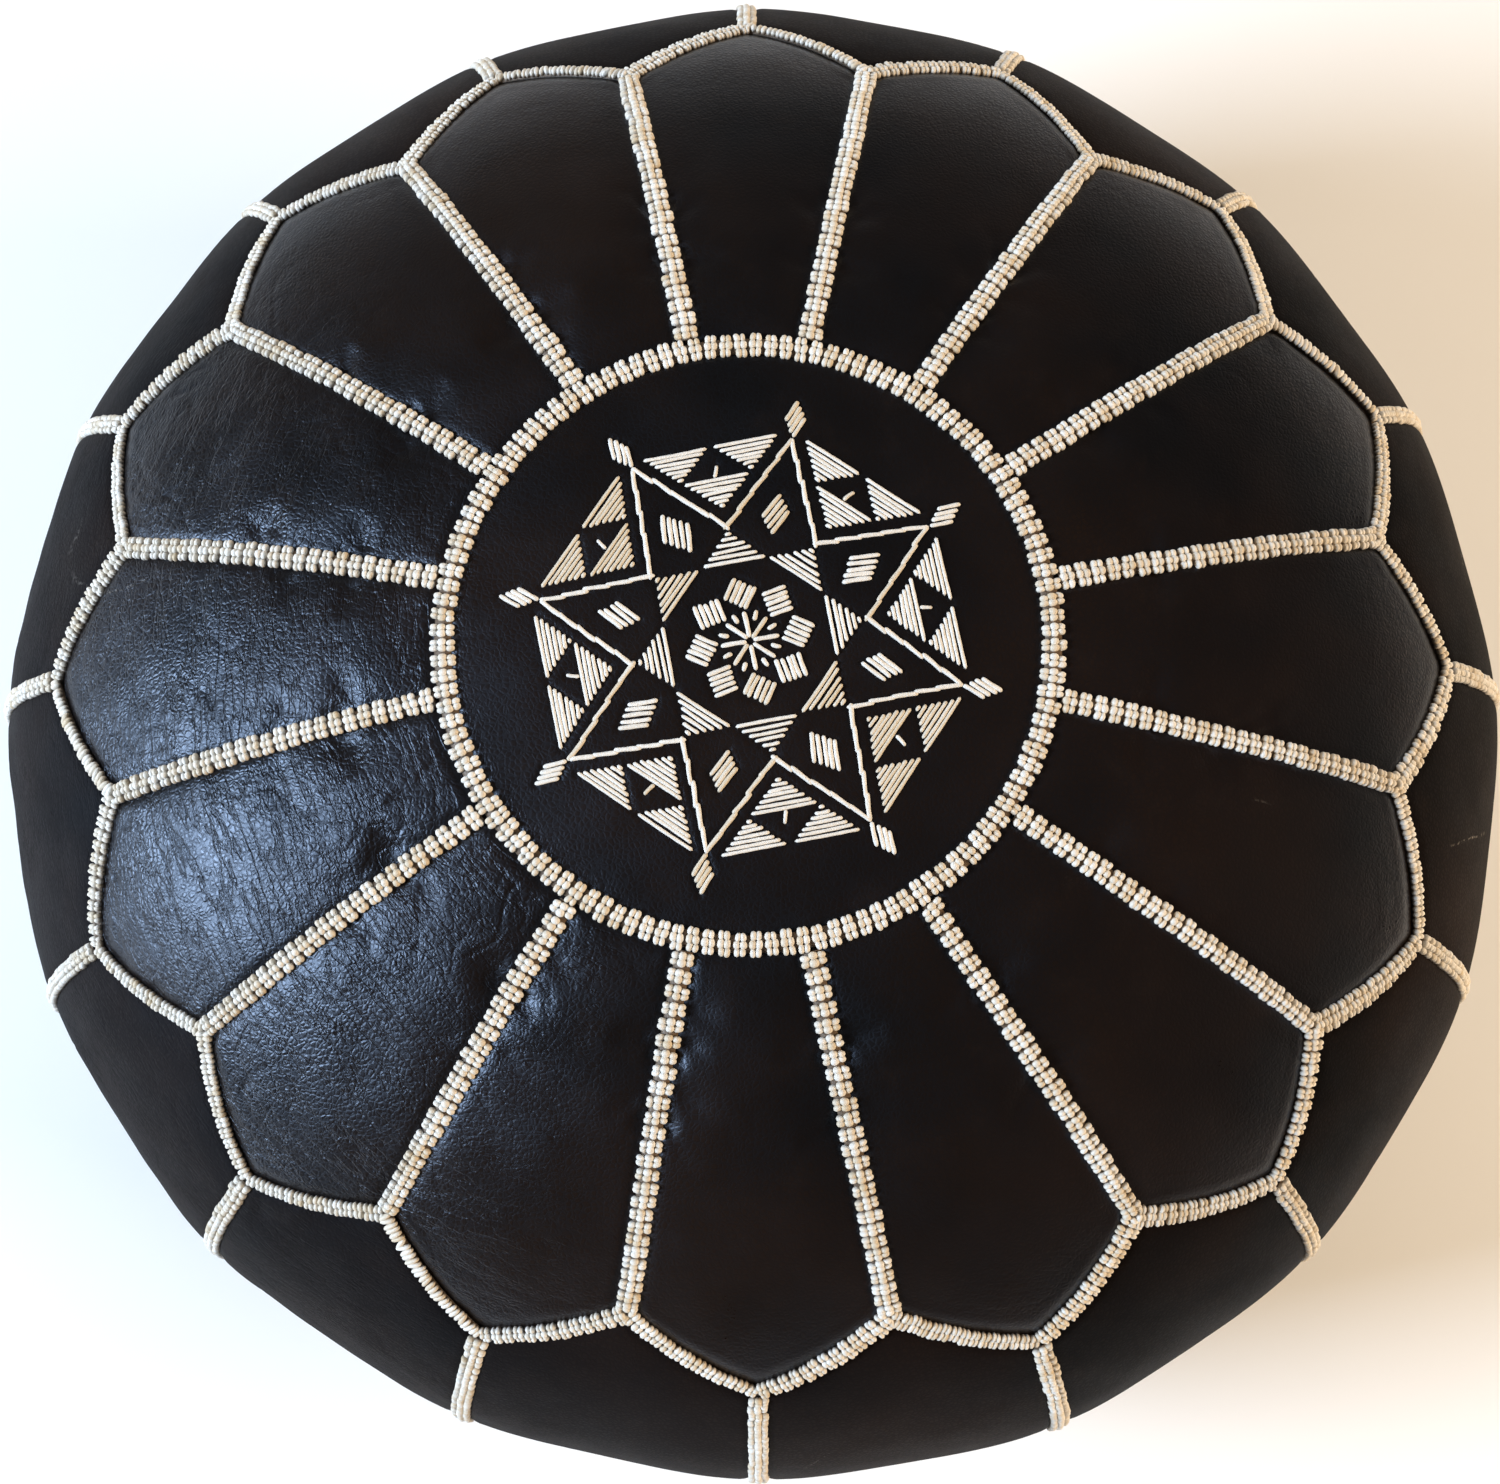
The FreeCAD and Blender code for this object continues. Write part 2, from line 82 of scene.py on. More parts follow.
# Leather.
LEATHER = 1.5 * MM
SEAM_DIP = 1.3 * MM
SEAM_ROLL = 4.4 * MM
STIFF_EDGE = 3.6 * MM
MOST_BULGE = 7 * MM
PETAL_CELLS = (14, 24)
SIDE_CELLS = (22, 54)
MEDALLION_CELLS = 216
BASE_CELLS = (110, 220)
CLOTH_STEPS = 20
DENT_RADIUS = 0.8 * MM
WORN_SIDE = math.radians(197)
# Creases are drawn out across a panel: the share that lengths across it count for in their pattern.
CREASE_SHARE = 0.22

# Braids: width, how far apart the beads are, and the gap between two beads as a share of that.
LOBES = 3
BEAD_HALF_HEIGHT = 1.45 * MM
RING_WIDTH = 7.4 * MM
RING_PITCH = 4.7 * MM
RING_GAP = 0.17
SPOKE_WIDTH = 7.0 * MM
SPOKE_PITCHES = (5.0 * MM, 3.9 * MM)
SPOKE_GAP = 0.15
ZIGZAG_PITCH = 3.6 * MM
ZIGZAG_GAP = 0.12
# The azimuth where the zigzag braid is thinnest.
THIN_SIDE = math.radians(125)
SIDE_WIDTH = 6.3 * MM
SIDE_PITCH = 3.7 * MM
SIDE_GAP = 0.22

# Embroidered star. Radii are shares of the medallion's radius, and angles are from a point of the star.
STAR_POINTS = 8
STAR_STEP = TAU / STAR_POINTS
STAR_TURN = 3 * HALF_PANEL
STAR_TIP = 0.70
STAR_NOTCH = 0.39
STAR_SHIFT = np.array([0.6 * MM, -1.9 * MM])
SATIN_WIDTH = 1.12 * MM
STITCH_WIDTH = 1.35 * MM
# Between a point of the star and the diamond beyond it.
TIP_GAP = 0.6 * MM
# Stitches that run this way get a warm tan tint: a painted sheen.
SHEEN_HEADING = math.radians(57)

# Zip across the middle of the base.
ZIP_SLOT_HALF_LENGTH = 105.6 * MM
ZIP_SLOT_HALF_WIDTH = 6.5 * MM


# ------ shape of the skin

def meridian(phi, lift=0.0):
    """Radius and height at an angle about the skin's centre, moved out along the normal by lift."""
    phi = np.asarray(phi, float)
    half_height = np.where(phi >= 0, CROWN_RISE, LOWER_DROP)
    across = np.maximum(np.cos(phi), 0.0)
    along = np.abs(np.sin(phi))
    reach = ((across / SKIN_RADIUS) ** SKIN_POWER + (along / half_height) ** SKIN_POWER) ** (-1 / SKIN_POWER)
    radius = reach * across
    height = reach * along
    normal_radius = (radius / SKIN_RADIUS) ** (SKIN_POWER - 1) / SKIN_RADIUS
    normal_height = (height / half_height) ** (SKIN_POWER - 1) / half_height
    size = np.hypot(normal_radius, normal_height)
    upward = np.where(phi >= 0, 1.0, -1.0)
    return (
        radius + lift * normal_radius / size,
        WIDEST_LEVEL + upward * (height + lift * normal_height / size),
    )


def phi_at(radius, above=True):
    """The skin's angle at a radius, above or below the widest level."""
    half_height = CROWN_RISE if above else LOWER_DROP
    height = half_height * (1 - (np.asarray(radius) / SKIN_RADIUS) ** SKIN_POWER) ** (1 / SKIN_POWER)
    angle = np.arctan2(height, radius)
    return angle if above else -angle


def smooth(value, low, high):
    """0 below low and 1 above high, with a soft step between them."""
    t = np.clip((value - low) / (high - low), 0.0, 1.0)
    return t * t * (3 - 2 * t)


def lean(theta, radius, height):
    """How much wider this pouf is than a true circle, as a share of the radius."""
    rim = smooth(radius, 0.11, 0.25)
    wider = SIDE_FLATTENING / 2 * (np.cos(PANELS * theta) - 1)
    level = 1 - smooth(np.abs(height - WIDEST_LEVEL), 0.06, 0.16) * (height < WIDEST_LEVEL)
    for count, reach, azimuth in RIM_WAVES:
        wider = wider + level * reach * np.cos(count * (theta - math.radians(azimuth)))
    return 1 + rim * wider / SKIN_RADIUS


def place(theta, phi, lift=0.0):
    """The point of this pouf's surface at an azimuth and a skin angle, moved out by lift."""
    radius, height = meridian(phi, lift)
    theta = np.asarray(theta, float)
    turned = theta + TOP_TWIST * smooth(radius, MEDALLION_RADIUS, VALLEY_RADIUS)
    wide = radius * lean(turned, radius, height)
    inner = (1 - smooth(radius, MEDALLION_RADIUS, VALLEY_RADIUS)) * (height > WIDEST_LEVEL)
    x = wide * np.cos(turned) + inner * RING_SHIFT[0]
    y = wide * np.sin(turned) + inner * RING_SHIFT[1]
    return np.stack([x, y, height + 0 * theta], axis=-1)


def unit(vectors):
    return vectors / np.maximum(np.linalg.norm(vectors, axis=-1, keepdims=True), 1e-12)


def normal_at(theta, phi):
    return unit(place(theta, phi, 1 * MM) - place(theta, phi))


def zigzag_radius(turn):
    """Radius of the petals' ends at an angle from a petal's middle: two bowed arcs that meet at a peak."""
    steps = np.linspace(0, 1, 41)
    peak = np.array([PEAK_RADIUS, 0.0])
    valley = VALLEY_RADIUS * np.array([math.cos(HALF_PANEL), math.sin(HALF_PANEL)])
    run = valley - peak
    outward = np.array([run[1], -run[0]])
    bow = 4 * END_BOW * steps * (1 - steps)
    line = peak + steps[:, None] * run + bow[:, None] * outward
    return np.interp(np.abs(turn), np.arctan2(line[:, 1], line[:, 0]), np.hypot(line[:, 0], line[:, 1]))


def noise(points, cell, seed=0):
    """Smooth random values from -1 to 1 over space, with features about one cell across."""
    spot = points / cell + 7.3 * seed
    base = np.floor(spot).astype(int)
    t = spot - base
    t = t * t * (3 - 2 * t)
    total = 0
    for corner in itertools.product((0, 1), repeat=3):
        at = (base + corner) % len(LATTICE)
        weight = np.prod(np.where(corner, t, 1 - t), axis=-1)
        total = total + weight * LATTICE[at[..., 0], at[..., 1], at[..., 2]]
    return total


def creases(points, cell, width, seed=0):
    """Thin wandering lines, 1 in their middle and 0 beside them."""
    return np.clip(1 - np.abs(noise(points, cell, seed)) / width, 0, 1) ** 1.5


# ------ meshes from arrays

def new_object(name, vertices, faces, material=None):
    """A smooth shaded object with these vertices and faces, which are all quads or all triangles."""
    mesh = bpy.data.meshes.new(name)
    faces = np.asarray(faces, np.int32)
    sides = faces.shape[1]
    mesh.vertices.add(len(vertices))
    mesh.vertices.foreach_set("co", np.asarray(vertices, np.float32).ravel())
    mesh.loops.add(faces.size)
    mesh.loops.foreach_set("vertex_index", faces.ravel())
    mesh.polygons.add(len(faces))
    mesh.polygons.foreach_set("loop_start", np.arange(0, faces.size, sides, dtype=np.int32))
    mesh.polygons.foreach_set("use_smooth", np.ones(len(faces), bool))
    mesh.update(calc_edges=True)
    mesh.validate()
    if material:
        mesh.materials.append(material)
    thing = bpy.data.objects.new(name, mesh)
    bpy.context.scene.collection.objects.link(thing)
    return thing


def grid_faces(rows, columns, start=0):
    """Quads of a grid whose vertices run along columns first."""
    at = start + np.arange(rows * columns).reshape(rows, columns)
    corners = (at[:-1, :-1], at[1:, :-1], at[1:, 1:], at[:-1, 1:])
    return np.stack([corner.ravel() for corner in corners], axis=1)


def finer(grid, times):
    """A grid of points with each cell cut into times by times, along smooth curves through the old points."""
    for axis in (0, 1):
        count = grid.shape[axis]
        at = np.linspace(0, count - 1, (count - 1) * times + 1)
        base = np.minimum(at.astype(int), count - 2)
        t = (at - base)[:, None, None]
        rows = np.moveaxis(grid, axis, 0)
        before, here, there, beyond = (rows[np.clip(base + step, 0, count - 1)] for step in (-1, 0, 1, 2))
        rows = 0.5 * (
            2 * here
            + (there - before) * t
            + (2 * before - 5 * here + 4 * there - beyond) * t ** 2
            + (3 * here - before - 3 * there + beyond) * t ** 3
        )
        grid = np.moveaxis(rows, 0, axis)
    return grid


def grid_normals(grid):
    along = np.gradient(grid, axis=0)
    across = np.gradient(grid, axis=1)
    return unit(np.cross(along, across))


def paint(thing, name, values, kind="FLOAT"):
    """Stores a number or a vector for each vertex, which the materials read by this name."""
    layer = thing.data.attributes.new(name, kind, "POINT")
    layer.data.foreach_set("value" if kind == "FLOAT" else "vector", np.asarray(values, np.float32).ravel())


def weld(thing):
    """Joins the vertices that lie at one place, such as a pole."""
    shape = bmesh.new()
    shape.from_mesh(thing.data)
    bmesh.ops.remove_doubles(shape, verts=shape.verts, dist=0.002 * MM)
    shape.to_mesh(thing.data)
    shape.free()


def leather_shell(name, grid, material):
    """A closed sheet of leather whose outer face is the grid."""
    rows, columns = grid.shape[:2]
    inner = grid - LEATHER * grid_normals(grid)
    outer_faces = grid_faces(rows, columns)
    inner_faces = grid_faces(rows, columns, rows * columns)[:, ::-1]
    at = np.arange(rows * columns).reshape(rows, columns)
    rim = np.concatenate([at[0, :-1], at[:-1, -1], at[-1, :0:-1], at[:0:-1, 0]])
    after = np.roll(rim, -1)
    walls = np.stack([rim, after, after + rows * columns, rim + rows * columns], axis=1)
    vertices = np.concatenate([grid.reshape(-1, 3), inner.reshape(-1, 3)])
    return new_object(name, vertices, np.concatenate([outer_faces, inner_faces, walls]), material)


# ------ layout of the panels

def petal_layout(index):
    """Azimuth and skin angle over one petal's grid, rows from the ring to the petal's end."""
    across, along = PETAL_CELLS
    turn = np.linspace(-HALF_PANEL, HALF_PANEL, across + 1)[None, :]
    share = np.linspace(0, 1, along + 1)[:, None]
    radius = MEDALLION_RADIUS + share * (zigzag_radius(turn) - MEDALLION_RADIUS)
    theta = index * PANEL_ANGLE + turn + 0 * radius
    return theta, phi_at(radius)


def side_layout(index):
    """The same over one side panel, rows from its point down to the base seam."""
    across, along = SIDE_CELLS
    turn = np.linspace(-HALF_PANEL, HALF_PANEL, across + 1)[None, :]
    top = phi_at(zigzag_radius(HALF_PANEL - np.abs(turn)))
    base = phi_at(BASE_SEAM_RADIUS, above=False)
    share = np.linspace(0, 1, along + 1)[:, None]
    phi = top + share * (base - top)
    theta = (index + 0.5) * PANEL_ANGLE + turn + 0 * phi
    return theta, phi


def edge_runs(grid, axis):
    """Length along the grid to each of its points from the grid's two ends on this axis."""
    steps = np.linalg.norm(np.diff(grid, axis=axis), axis=-1)
    start = np.zeros_like(np.take(steps, [0], axis=axis))
    run = np.cumsum(np.concatenate([start, steps], axis=axis), axis=axis)
    return run, np.take(run, [-1], axis=axis) - run


def edge_distance(grid):
    """Distance of each grid point from the nearest of the panel's four edges, measured along the grid."""
    return np.min([*edge_runs(grid, 0), *edge_runs(grid, 1)], axis=0)


def start_grid(layout):
    """A panel before it is stuffed: on the skin, with its edges turned down into the seams."""
    theta, phi = layout
    distance = edge_distance(place(theta, phi))
    dip = SEAM_DIP * (1 - smooth(distance, 0, SEAM_ROLL))
    return place(theta, phi, -dip)


def stuffed(grids):
    """The panels swollen by their stuffing: one cloth simulation with their edges held."""
    faces = []
    starts = []
    count = 0
    for grid in grids:
        rows, columns = grid.shape[:2]
        faces.append(grid_faces(rows, columns, count))
        starts.append(count)
        count += rows * columns
    rest = np.concatenate([grid.reshape(-1, 3) for grid in grids])
    cover = new_object("cover_cloth", rest, np.concatenate(faces))
    held = cover.vertex_groups.new(name="held")
    distance = np.concatenate([edge_distance(grid).ravel() for grid in grids])
    held.add([int(n) for n in np.flatnonzero(distance < STIFF_EDGE)], 1.0, "REPLACE")
    modifier = cover.modifiers.new("stuffing", "CLOTH")
    cloth = modifier.settings
    cloth.quality = 6
    cloth.mass = 0.4
    cloth.tension_stiffness = 40
    cloth.compression_stiffness = 60
    cloth.shear_stiffness = 20
    cloth.bending_stiffness = 18
    cloth.vertex_group_mass = held.name
    cloth.use_pressure = True
    cloth.uniform_pressure_force = 6
    cloth.shrink_min = -0.006
    cloth.effector_weights.gravity = 0
    modifier.collision_settings.use_collision = False
    scene = bpy.context.scene
    for step in range(1, CLOTH_STEPS + 1):
        scene.frame_set(step)
    graph = bpy.context.evaluated_depsgraph_get()
    done = cover.evaluated_get(graph).to_mesh()
    swollen = np.empty(count * 3, np.float32)
    done.vertices.foreach_get("co", swollen)
    swollen = swollen.reshape(-1, 3).astype(float)
    scene.frame_set(1)
    bpy.data.objects.remove(cover)
    move = swollen - rest
    size = np.linalg.norm(move, axis=1, keepdims=True)
    move *= np.minimum(1, MOST_BULGE / np.maximum(size, 1e-9))
    swollen = rest + move
    return [
        swollen[start:start + grid.shape[0] * grid.shape[1]].reshape(grid.shape)
        for start, grid in zip(starts, grids)
    ]


# ------ puckers and creases

def wear_at(points):
    """How worn the leather is, from 0 to 1: most on the side that was leant on."""
    azimuth = np.arctan2(points[..., 1], points[..., 0])
    radius = np.hypot(points[..., 0], points[..., 1])
    sat_on = smooth(radius, MEDALLION_RADIUS - 12 * MM, MEDALLION_RADIUS + 6 * MM)
    return 0.2 + 0.8 * sat_on * smooth(np.cos(azimuth - WORN_SIDE), 0.35, 0.95)


def gathers(run, spacing, seed):
    """Folds that cross a seam at uneven spacing, bunched in some stretches, from -1 to 1."""
    spot = np.stack([run, 0 * run + seed * 11 * MM, 0 * run], axis=-1)
    bunch = smooth(noise(spot, 24 * MM, seed + 1), -0.45, 0.5)
    return noise(spot, spacing, seed) * bunch


def wrinkled(grid, seed):
    """A panel's grid with gathers beside its seams and creases over its face."""
    lift = 0
    for axis in (0, 1):
        along = edge_runs(grid, 1 - axis)[0]
        for side, distance in enumerate(edge_runs(grid, axis)):
            held = smooth(distance, 0.8 * MM, 3.6 * MM)
            key = seed + 3 * axis + 5 * side
            lift = lift + held * 0.55 * MM * np.exp(-distance / (6 * MM)) * gathers(along, 3.4 * MM, key)
            lift = lift + held * 0.75 * MM * np.exp(-distance / (15 * MM)) * gathers(along, 9 * MM, key + 2)
    wear = wear_at(grid)
    lift = lift * (0.82 * wear - 0.08)
    inside = smooth(edge_distance(grid), 2 * MM, 8 * MM)
    patches = smooth(noise(grid, 40 * MM, seed), -0.3, 0.4)
    warp = 5 * MM * np.stack([noise(grid, 17 * MM, seed + shift) for shift in (1, 2, 3)], axis=-1)
    lines = creases(grid + warp, 21 * MM, 0.05, seed) + 0.6 * creases(grid + warp, 9 * MM, 0.10, seed + 4)
    lift = lift - inside * wear * patches * 0.42 * MM * lines
    lift = lift + inside * wear * 0.34 * MM * noise(grid, 13 * MM, seed + 6)
    return grid + lift[..., None] * grid_normals(grid)


# ------ medallion, base and filling

def medallion_height(x, y):
    """Height of the medallion at a place on it, measured from the ring's centre."""
    return meridian(phi_at(np.hypot(x, y)))[1]


def medallion_grid(holes):
    """The medallion: a square grid bent into a disc, rolled down at the ring and dented by the thread."""
    line = np.linspace(-1, 1, MEDALLION_CELLS + 1)
    u, v = np.meshgrid(line, line, indexing="ij")
    x = MEDALLION_RADIUS * u * np.sqrt(1 - v ** 2 / 2)
    y = MEDALLION_RADIUS * v * np.sqrt(1 - u ** 2 / 2)
    radius = np.minimum(np.hypot(x, y), MEDALLION_RADIUS)
    turn = np.arctan2(y, x)
    edge = MEDALLION_RADIUS - radius
    z = medallion_height(x, y) - SEAM_DIP * (1 - smooth(edge, 0, SEAM_ROLL))
    flat = np.stack([x, y, 0 * x], axis=-1)
    held = smooth(edge, 0.8 * MM, 3.6 * MM)
    z = z + held * 0.35 * MM * np.exp(-edge / (5 * MM)) * gathers(turn * MEDALLION_RADIUS, 4 * MM, 31)
    z = z + smooth(edge, 1 * MM, 9 * MM) * 0.35 * MM * noise(flat, 24 * MM, 32)
    dent = np.zeros_like(z)
    reach = 4 * 2 * MEDALLION_RADIUS / MEDALLION_CELLS
    for hole_x, hole_y in holes:
        far = np.hypot(x - hole_x, y - hole_y)
        near = far < reach
        dent[near] = np.maximum(dent[near], np.exp(-(far[near] / DENT_RADIUS) ** 2))
    return np.stack([x + RING_SHIFT[0], y + RING_SHIFT[1], z - 0.5 * MM * dent], axis=-1)


def base_height(radius):
    """Height of the base's underside: a roll up to its seam, a ring on the floor and a raised middle."""
    seam_radius, seam_height = meridian(phi_at(BASE_SEAM_RADIUS, above=False))
    outer_radius, outer_height = meridian(phi_at(BASE_SEAM_RADIUS, above=False), 1 * MM)
    slope = math.atan2(outer_radius - seam_radius, seam_height - outer_height)
    roll = seam_height / (1 - math.cos(slope))
    floor_radius = seam_radius - roll * math.sin(slope)
    rise = FLOOR_INNER_RADIUS - RAISED_RADIUS
    curl = (rise ** 2 + RAISED_HEIGHT ** 2) / (4 * RAISED_HEIGHT)
    outside = np.clip(radius - floor_radius, 0, roll)
    inside = np.clip(FLOOR_INNER_RADIUS - radius, 0, rise / 2)
    deeper = np.clip(radius - RAISED_RADIUS, 0, rise / 2)
    low = roll - np.sqrt(roll ** 2 - outside ** 2) + curl - np.sqrt(curl ** 2 - inside ** 2)
    high = RAISED_HEIGHT - curl + np.sqrt(curl ** 2 - deeper ** 2)
    return np.where(radius < FLOOR_INNER_RADIUS - rise / 2, high, low)


def base_grid(side):
    """Half of the base, on the side of Y given by side, with the slot for the zip in its straight edge."""
    across, along = BASE_CELLS
    turn = np.linspace(0.012, math.pi - 0.012, along + 1)[None, :]
    share = np.linspace(0, 1, across + 1)[:, None]
    x = BASE_SEAM_RADIUS * np.cos(turn) + 0 * share
    rim = BASE_SEAM_RADIUS * np.sin(turn)
    closing = smooth(np.abs(x[0]), ZIP_SLOT_HALF_LENGTH - 3 * MM, ZIP_SLOT_HALF_LENGTH)
    slot = ZIP_SLOT_HALF_WIDTH * (1 - closing)
    start = np.minimum(slot + 0.1 * MM, rim)
    y = start + share * (rim - start)
    radius = np.hypot(x, y)
    rolled = 1 - smooth(y - start, 0, 3.2 * MM)
    z = base_height(radius) + SEAM_DIP * rolled * np.where(slot > 1 * MM, 0.4, 1.0)
    flat = np.stack([x, y * side, 0 * x], axis=-1)
    azimuth = np.arctan2(y * side, x)
    clear = smooth(z, 0.4 * MM, 4 * MM)
    edge = BASE_SEAM_RADIUS - radius
    seam = clear * np.exp(-edge / (12 * MM)) * gathers(azimuth * BASE_SEAM_RADIUS, 8 * MM, 41)
    z = z + 0.5 * MM * seam + clear * 0.5 * MM * noise(flat, 30 * MM, 42)
    grid = np.stack([x, y * side, z], axis=-1)
    return grid if side < 0 else grid[:, ::-1]


def filling_shape():
    """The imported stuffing: a lumpy closed body just inside the cover."""
    gap = LEATHER + 2.2 * MM
    lower = np.linspace(BASE_SEAM_RADIUS - gap, 0, 40)
    phi = np.linspace(math.pi / 2, phi_at(BASE_SEAM_RADIUS, above=False), 60)
    skin_radius, skin_height = meridian(phi, -gap)
    radius = np.concatenate([skin_radius, lower])[:, None]
    inner_height = base_height(lower) + gap + 5 * MM * (lower < RAISED_RADIUS)
    height = np.concatenate([skin_height, inner_height])[:, None]
    theta = np.linspace(0, TAU, 121)[None, :]
    points = np.stack([radius * np.cos(theta), radius * np.sin(theta), height + 0 * theta], axis=-1)
    middle = np.array([0, 0, WIDEST_LEVEL])
    lumps = 0.008 * (noise(points, 34 * MM, 51) - 1) + 0.004 * (noise(points, 12 * MM, 52) - 1)
    return middle + (points - middle) * (1 + lumps[..., None])


# ------ braids

def unit_ball():
    """Points and triangles of a ball that is a little squared, like a knot of cord."""
    shape = bmesh.new()
    bmesh.ops.create_icosphere(shape, subdivisions=2, radius=1)
    points = np.array([vertex.co for vertex in shape.verts])
    faces = np.array([[vertex.index for vertex in face.verts] for face in shape.faces])
    shape.free()
    return np.sign(points) * np.abs(points) ** 0.88, faces


BALL_POINTS, BALL_FACES = unit_ball()


def route(theta, phi):
    """A seam's line: its points, the surface's normals there, and the length up to each point."""
    points = place(theta, phi)
    steps = np.linalg.norm(np.diff(points, axis=0), axis=1)
    return points, normal_at(theta, phi), np.concatenate([[0], np.cumsum(steps)])


def rows_at(values, run, at):
    """Vectors given along a run, read at other lengths along it."""
    return np.stack([np.interp(at, run, values[:, axis]) for axis in range(3)], axis=-1)


def frames_at(line, at):
    """Points on a line at these lengths along it, with the directions along it, aside and outward."""
    points, normals, run = line
    middle = rows_at(points, run, at)
    along = unit(rows_at(points, run, at + 0.5 * MM) - rows_at(points, run, at - 0.5 * MM))
    outward = rows_at(normals, run, at)
    outward = unit(outward - along * np.sum(outward * along, axis=-1, keepdims=True))
    return middle, along, np.cross(outward, along), outward


def bead_lobes(line, widths, pitches, across, pair_gap):
    """The lobes of a braid's beads, each bead being two rows of lobes: points, faces, tints, and the lobes'
    heights that set their painted shade, lower parts being painted darker.
    widths and pitches are given at the line's two ends."""
    length = line[2][-1]
    count = max(2, round(length / np.mean(pitches)))
    share = (np.arange(count) + 0.5) / count
    stretch = np.interp(np.linspace(0, 1, 41), [0, 1], pitches)
    reach = np.concatenate([[0], np.cumsum(stretch)])
    at = length * np.interp(share, np.linspace(0, 1, 42), reach / reach[-1])
    pitch = length / count * np.interp(share, [0, 1], pitches) / np.mean(pitches)
    width = np.interp(share, [0, 1], widths) * rng.uniform(0.93, 1.06, count)
    swing = rng.normal(0, 0.07, count)
    slip = rng.normal(0, 0.12 * MM, count)
    bead_tint = rng.uniform(-0.2, 0.2, count)
    solids, tints, shade_depths = [], [], []
    for row in (-1, 1):
        for column in range(across):
            aside_share = 0.0 if across == 1 else column / (across - 1) - 0.5
            half_width = width / across / 2
            corner = 1 - 0.16 * (2 * aside_share) ** 2 * (across > 2)
            aside = aside_share * (width - 2 * half_width) * rng.uniform(0.95, 1.04, count) + slip
            ahead = row * corner * pitch * (1 - pair_gap) / 4 + swing * aside
            middle, along, side, outward = frames_at(line, at + ahead + rng.normal(0, 0.07 * MM, count))
            arch = 0.45 * MM * (1 - (2 * aside_share) ** 2) + rng.normal(0, 0.08 * MM, count)
            centre = middle + side * aside[:, None] + outward * (0.45 * MM + arch)[:, None]
            size = np.stack([
                corner * pitch * (1 - pair_gap) / 4 * rng.uniform(1.12, 1.30, count),
                half_width * rng.uniform(1.10, 1.28, count),
                BEAD_HALF_HEIGHT * rng.uniform(0.92, 1.06, count),
            ], axis=-1)
            turn = rng.normal(0, 0.16, count)[:, None]
            axes = np.stack([
                along * np.cos(turn) + side * np.sin(turn),
                side * np.cos(turn) - along * np.sin(turn),
                outward,
            ], axis=1)
            solid = centre[:, None] + np.einsum("nvk,nkc->nvc", BALL_POINTS[None] * size[:, None], axes)
            tint = np.clip(0.5 + bead_tint + rng.normal(0, 0.16, count), 0, 1)
            solids.append(solid.reshape(-1, 3))
            tints.append(np.repeat(tint, len(BALL_POINTS)))
            # Each lobe's height, which the thread material turns into painted shade: darker low down.
            shade_depths.append(np.tile(BALL_POINTS[:, 2], count))
    points = np.concatenate(solids)
    starts = np.arange(len(points) // len(BALL_POINTS)) * len(BALL_POINTS)
    faces = (BALL_FACES[None] + starts[:, None, None]).reshape(-1, 3)
    return points, faces, np.concatenate(tints), np.concatenate(shade_depths)


def halved(quads):
    """Two triangles for each quad."""
    return np.concatenate([quads[:, [0, 1, 2]], quads[:, [0, 2, 3]]])


def braid_core(line, widths):
    """The cord that the beads are worked over: a low ridge, sunk in the seam, painted in the thread's darkest
    colour as painted shade between the beads.
    """
    length = line[2][-1]
    at = np.linspace(0, length, max(3, round(length / (2 * MM))))
    middle, _, side, outward = frames_at(line, at)
    half = np.interp(at, [0, length], widths) * 0.36
    turn = np.linspace(0, TAU, 9)[None, :, None]
    aside = side[:, None] * half[:, None, None] * np.cos(turn)
    lift = outward[:, None] * (0.9 * MM * np.sin(turn) - 0.3 * MM)
    points = (middle[:, None] + aside + lift).reshape(-1, 3)
    # Every point gets the lowest shade height, so the whole core is painted shade.
    return points, halved(grid_faces(len(at), 9)), np.zeros(len(points)), np.full(len(points), -1.0)


def make_thread(name, node, solids):
    """One piece of cream thread from solids, each with its points, faces, tints and the heights that set its
    painted shade.
    """
    points, faces, tints, shade_depths = zip(*solids)
    starts = np.cumsum([0, *map(len, points)])
    faces = [solid_faces + start for solid_faces, start in zip(faces, starts)]
    thing = new_object(name, np.concatenate(points), np.concatenate(faces), thread)
    paint(thing, "tint", np.concatenate(tints))
    paint(thing, "shade_depth", np.concatenate(shade_depths))
    finish_piece(thing, node)


def make_braid(name, node, parts):
    """One braid from several lines, each with its widths, pitches, lobes across and the gap between beads."""
    solids = []
    for line, widths, *rest in parts:
        solids += [bead_lobes(line, widths, *rest), braid_core(line, widths)]
    make_thread(name, node, solids)


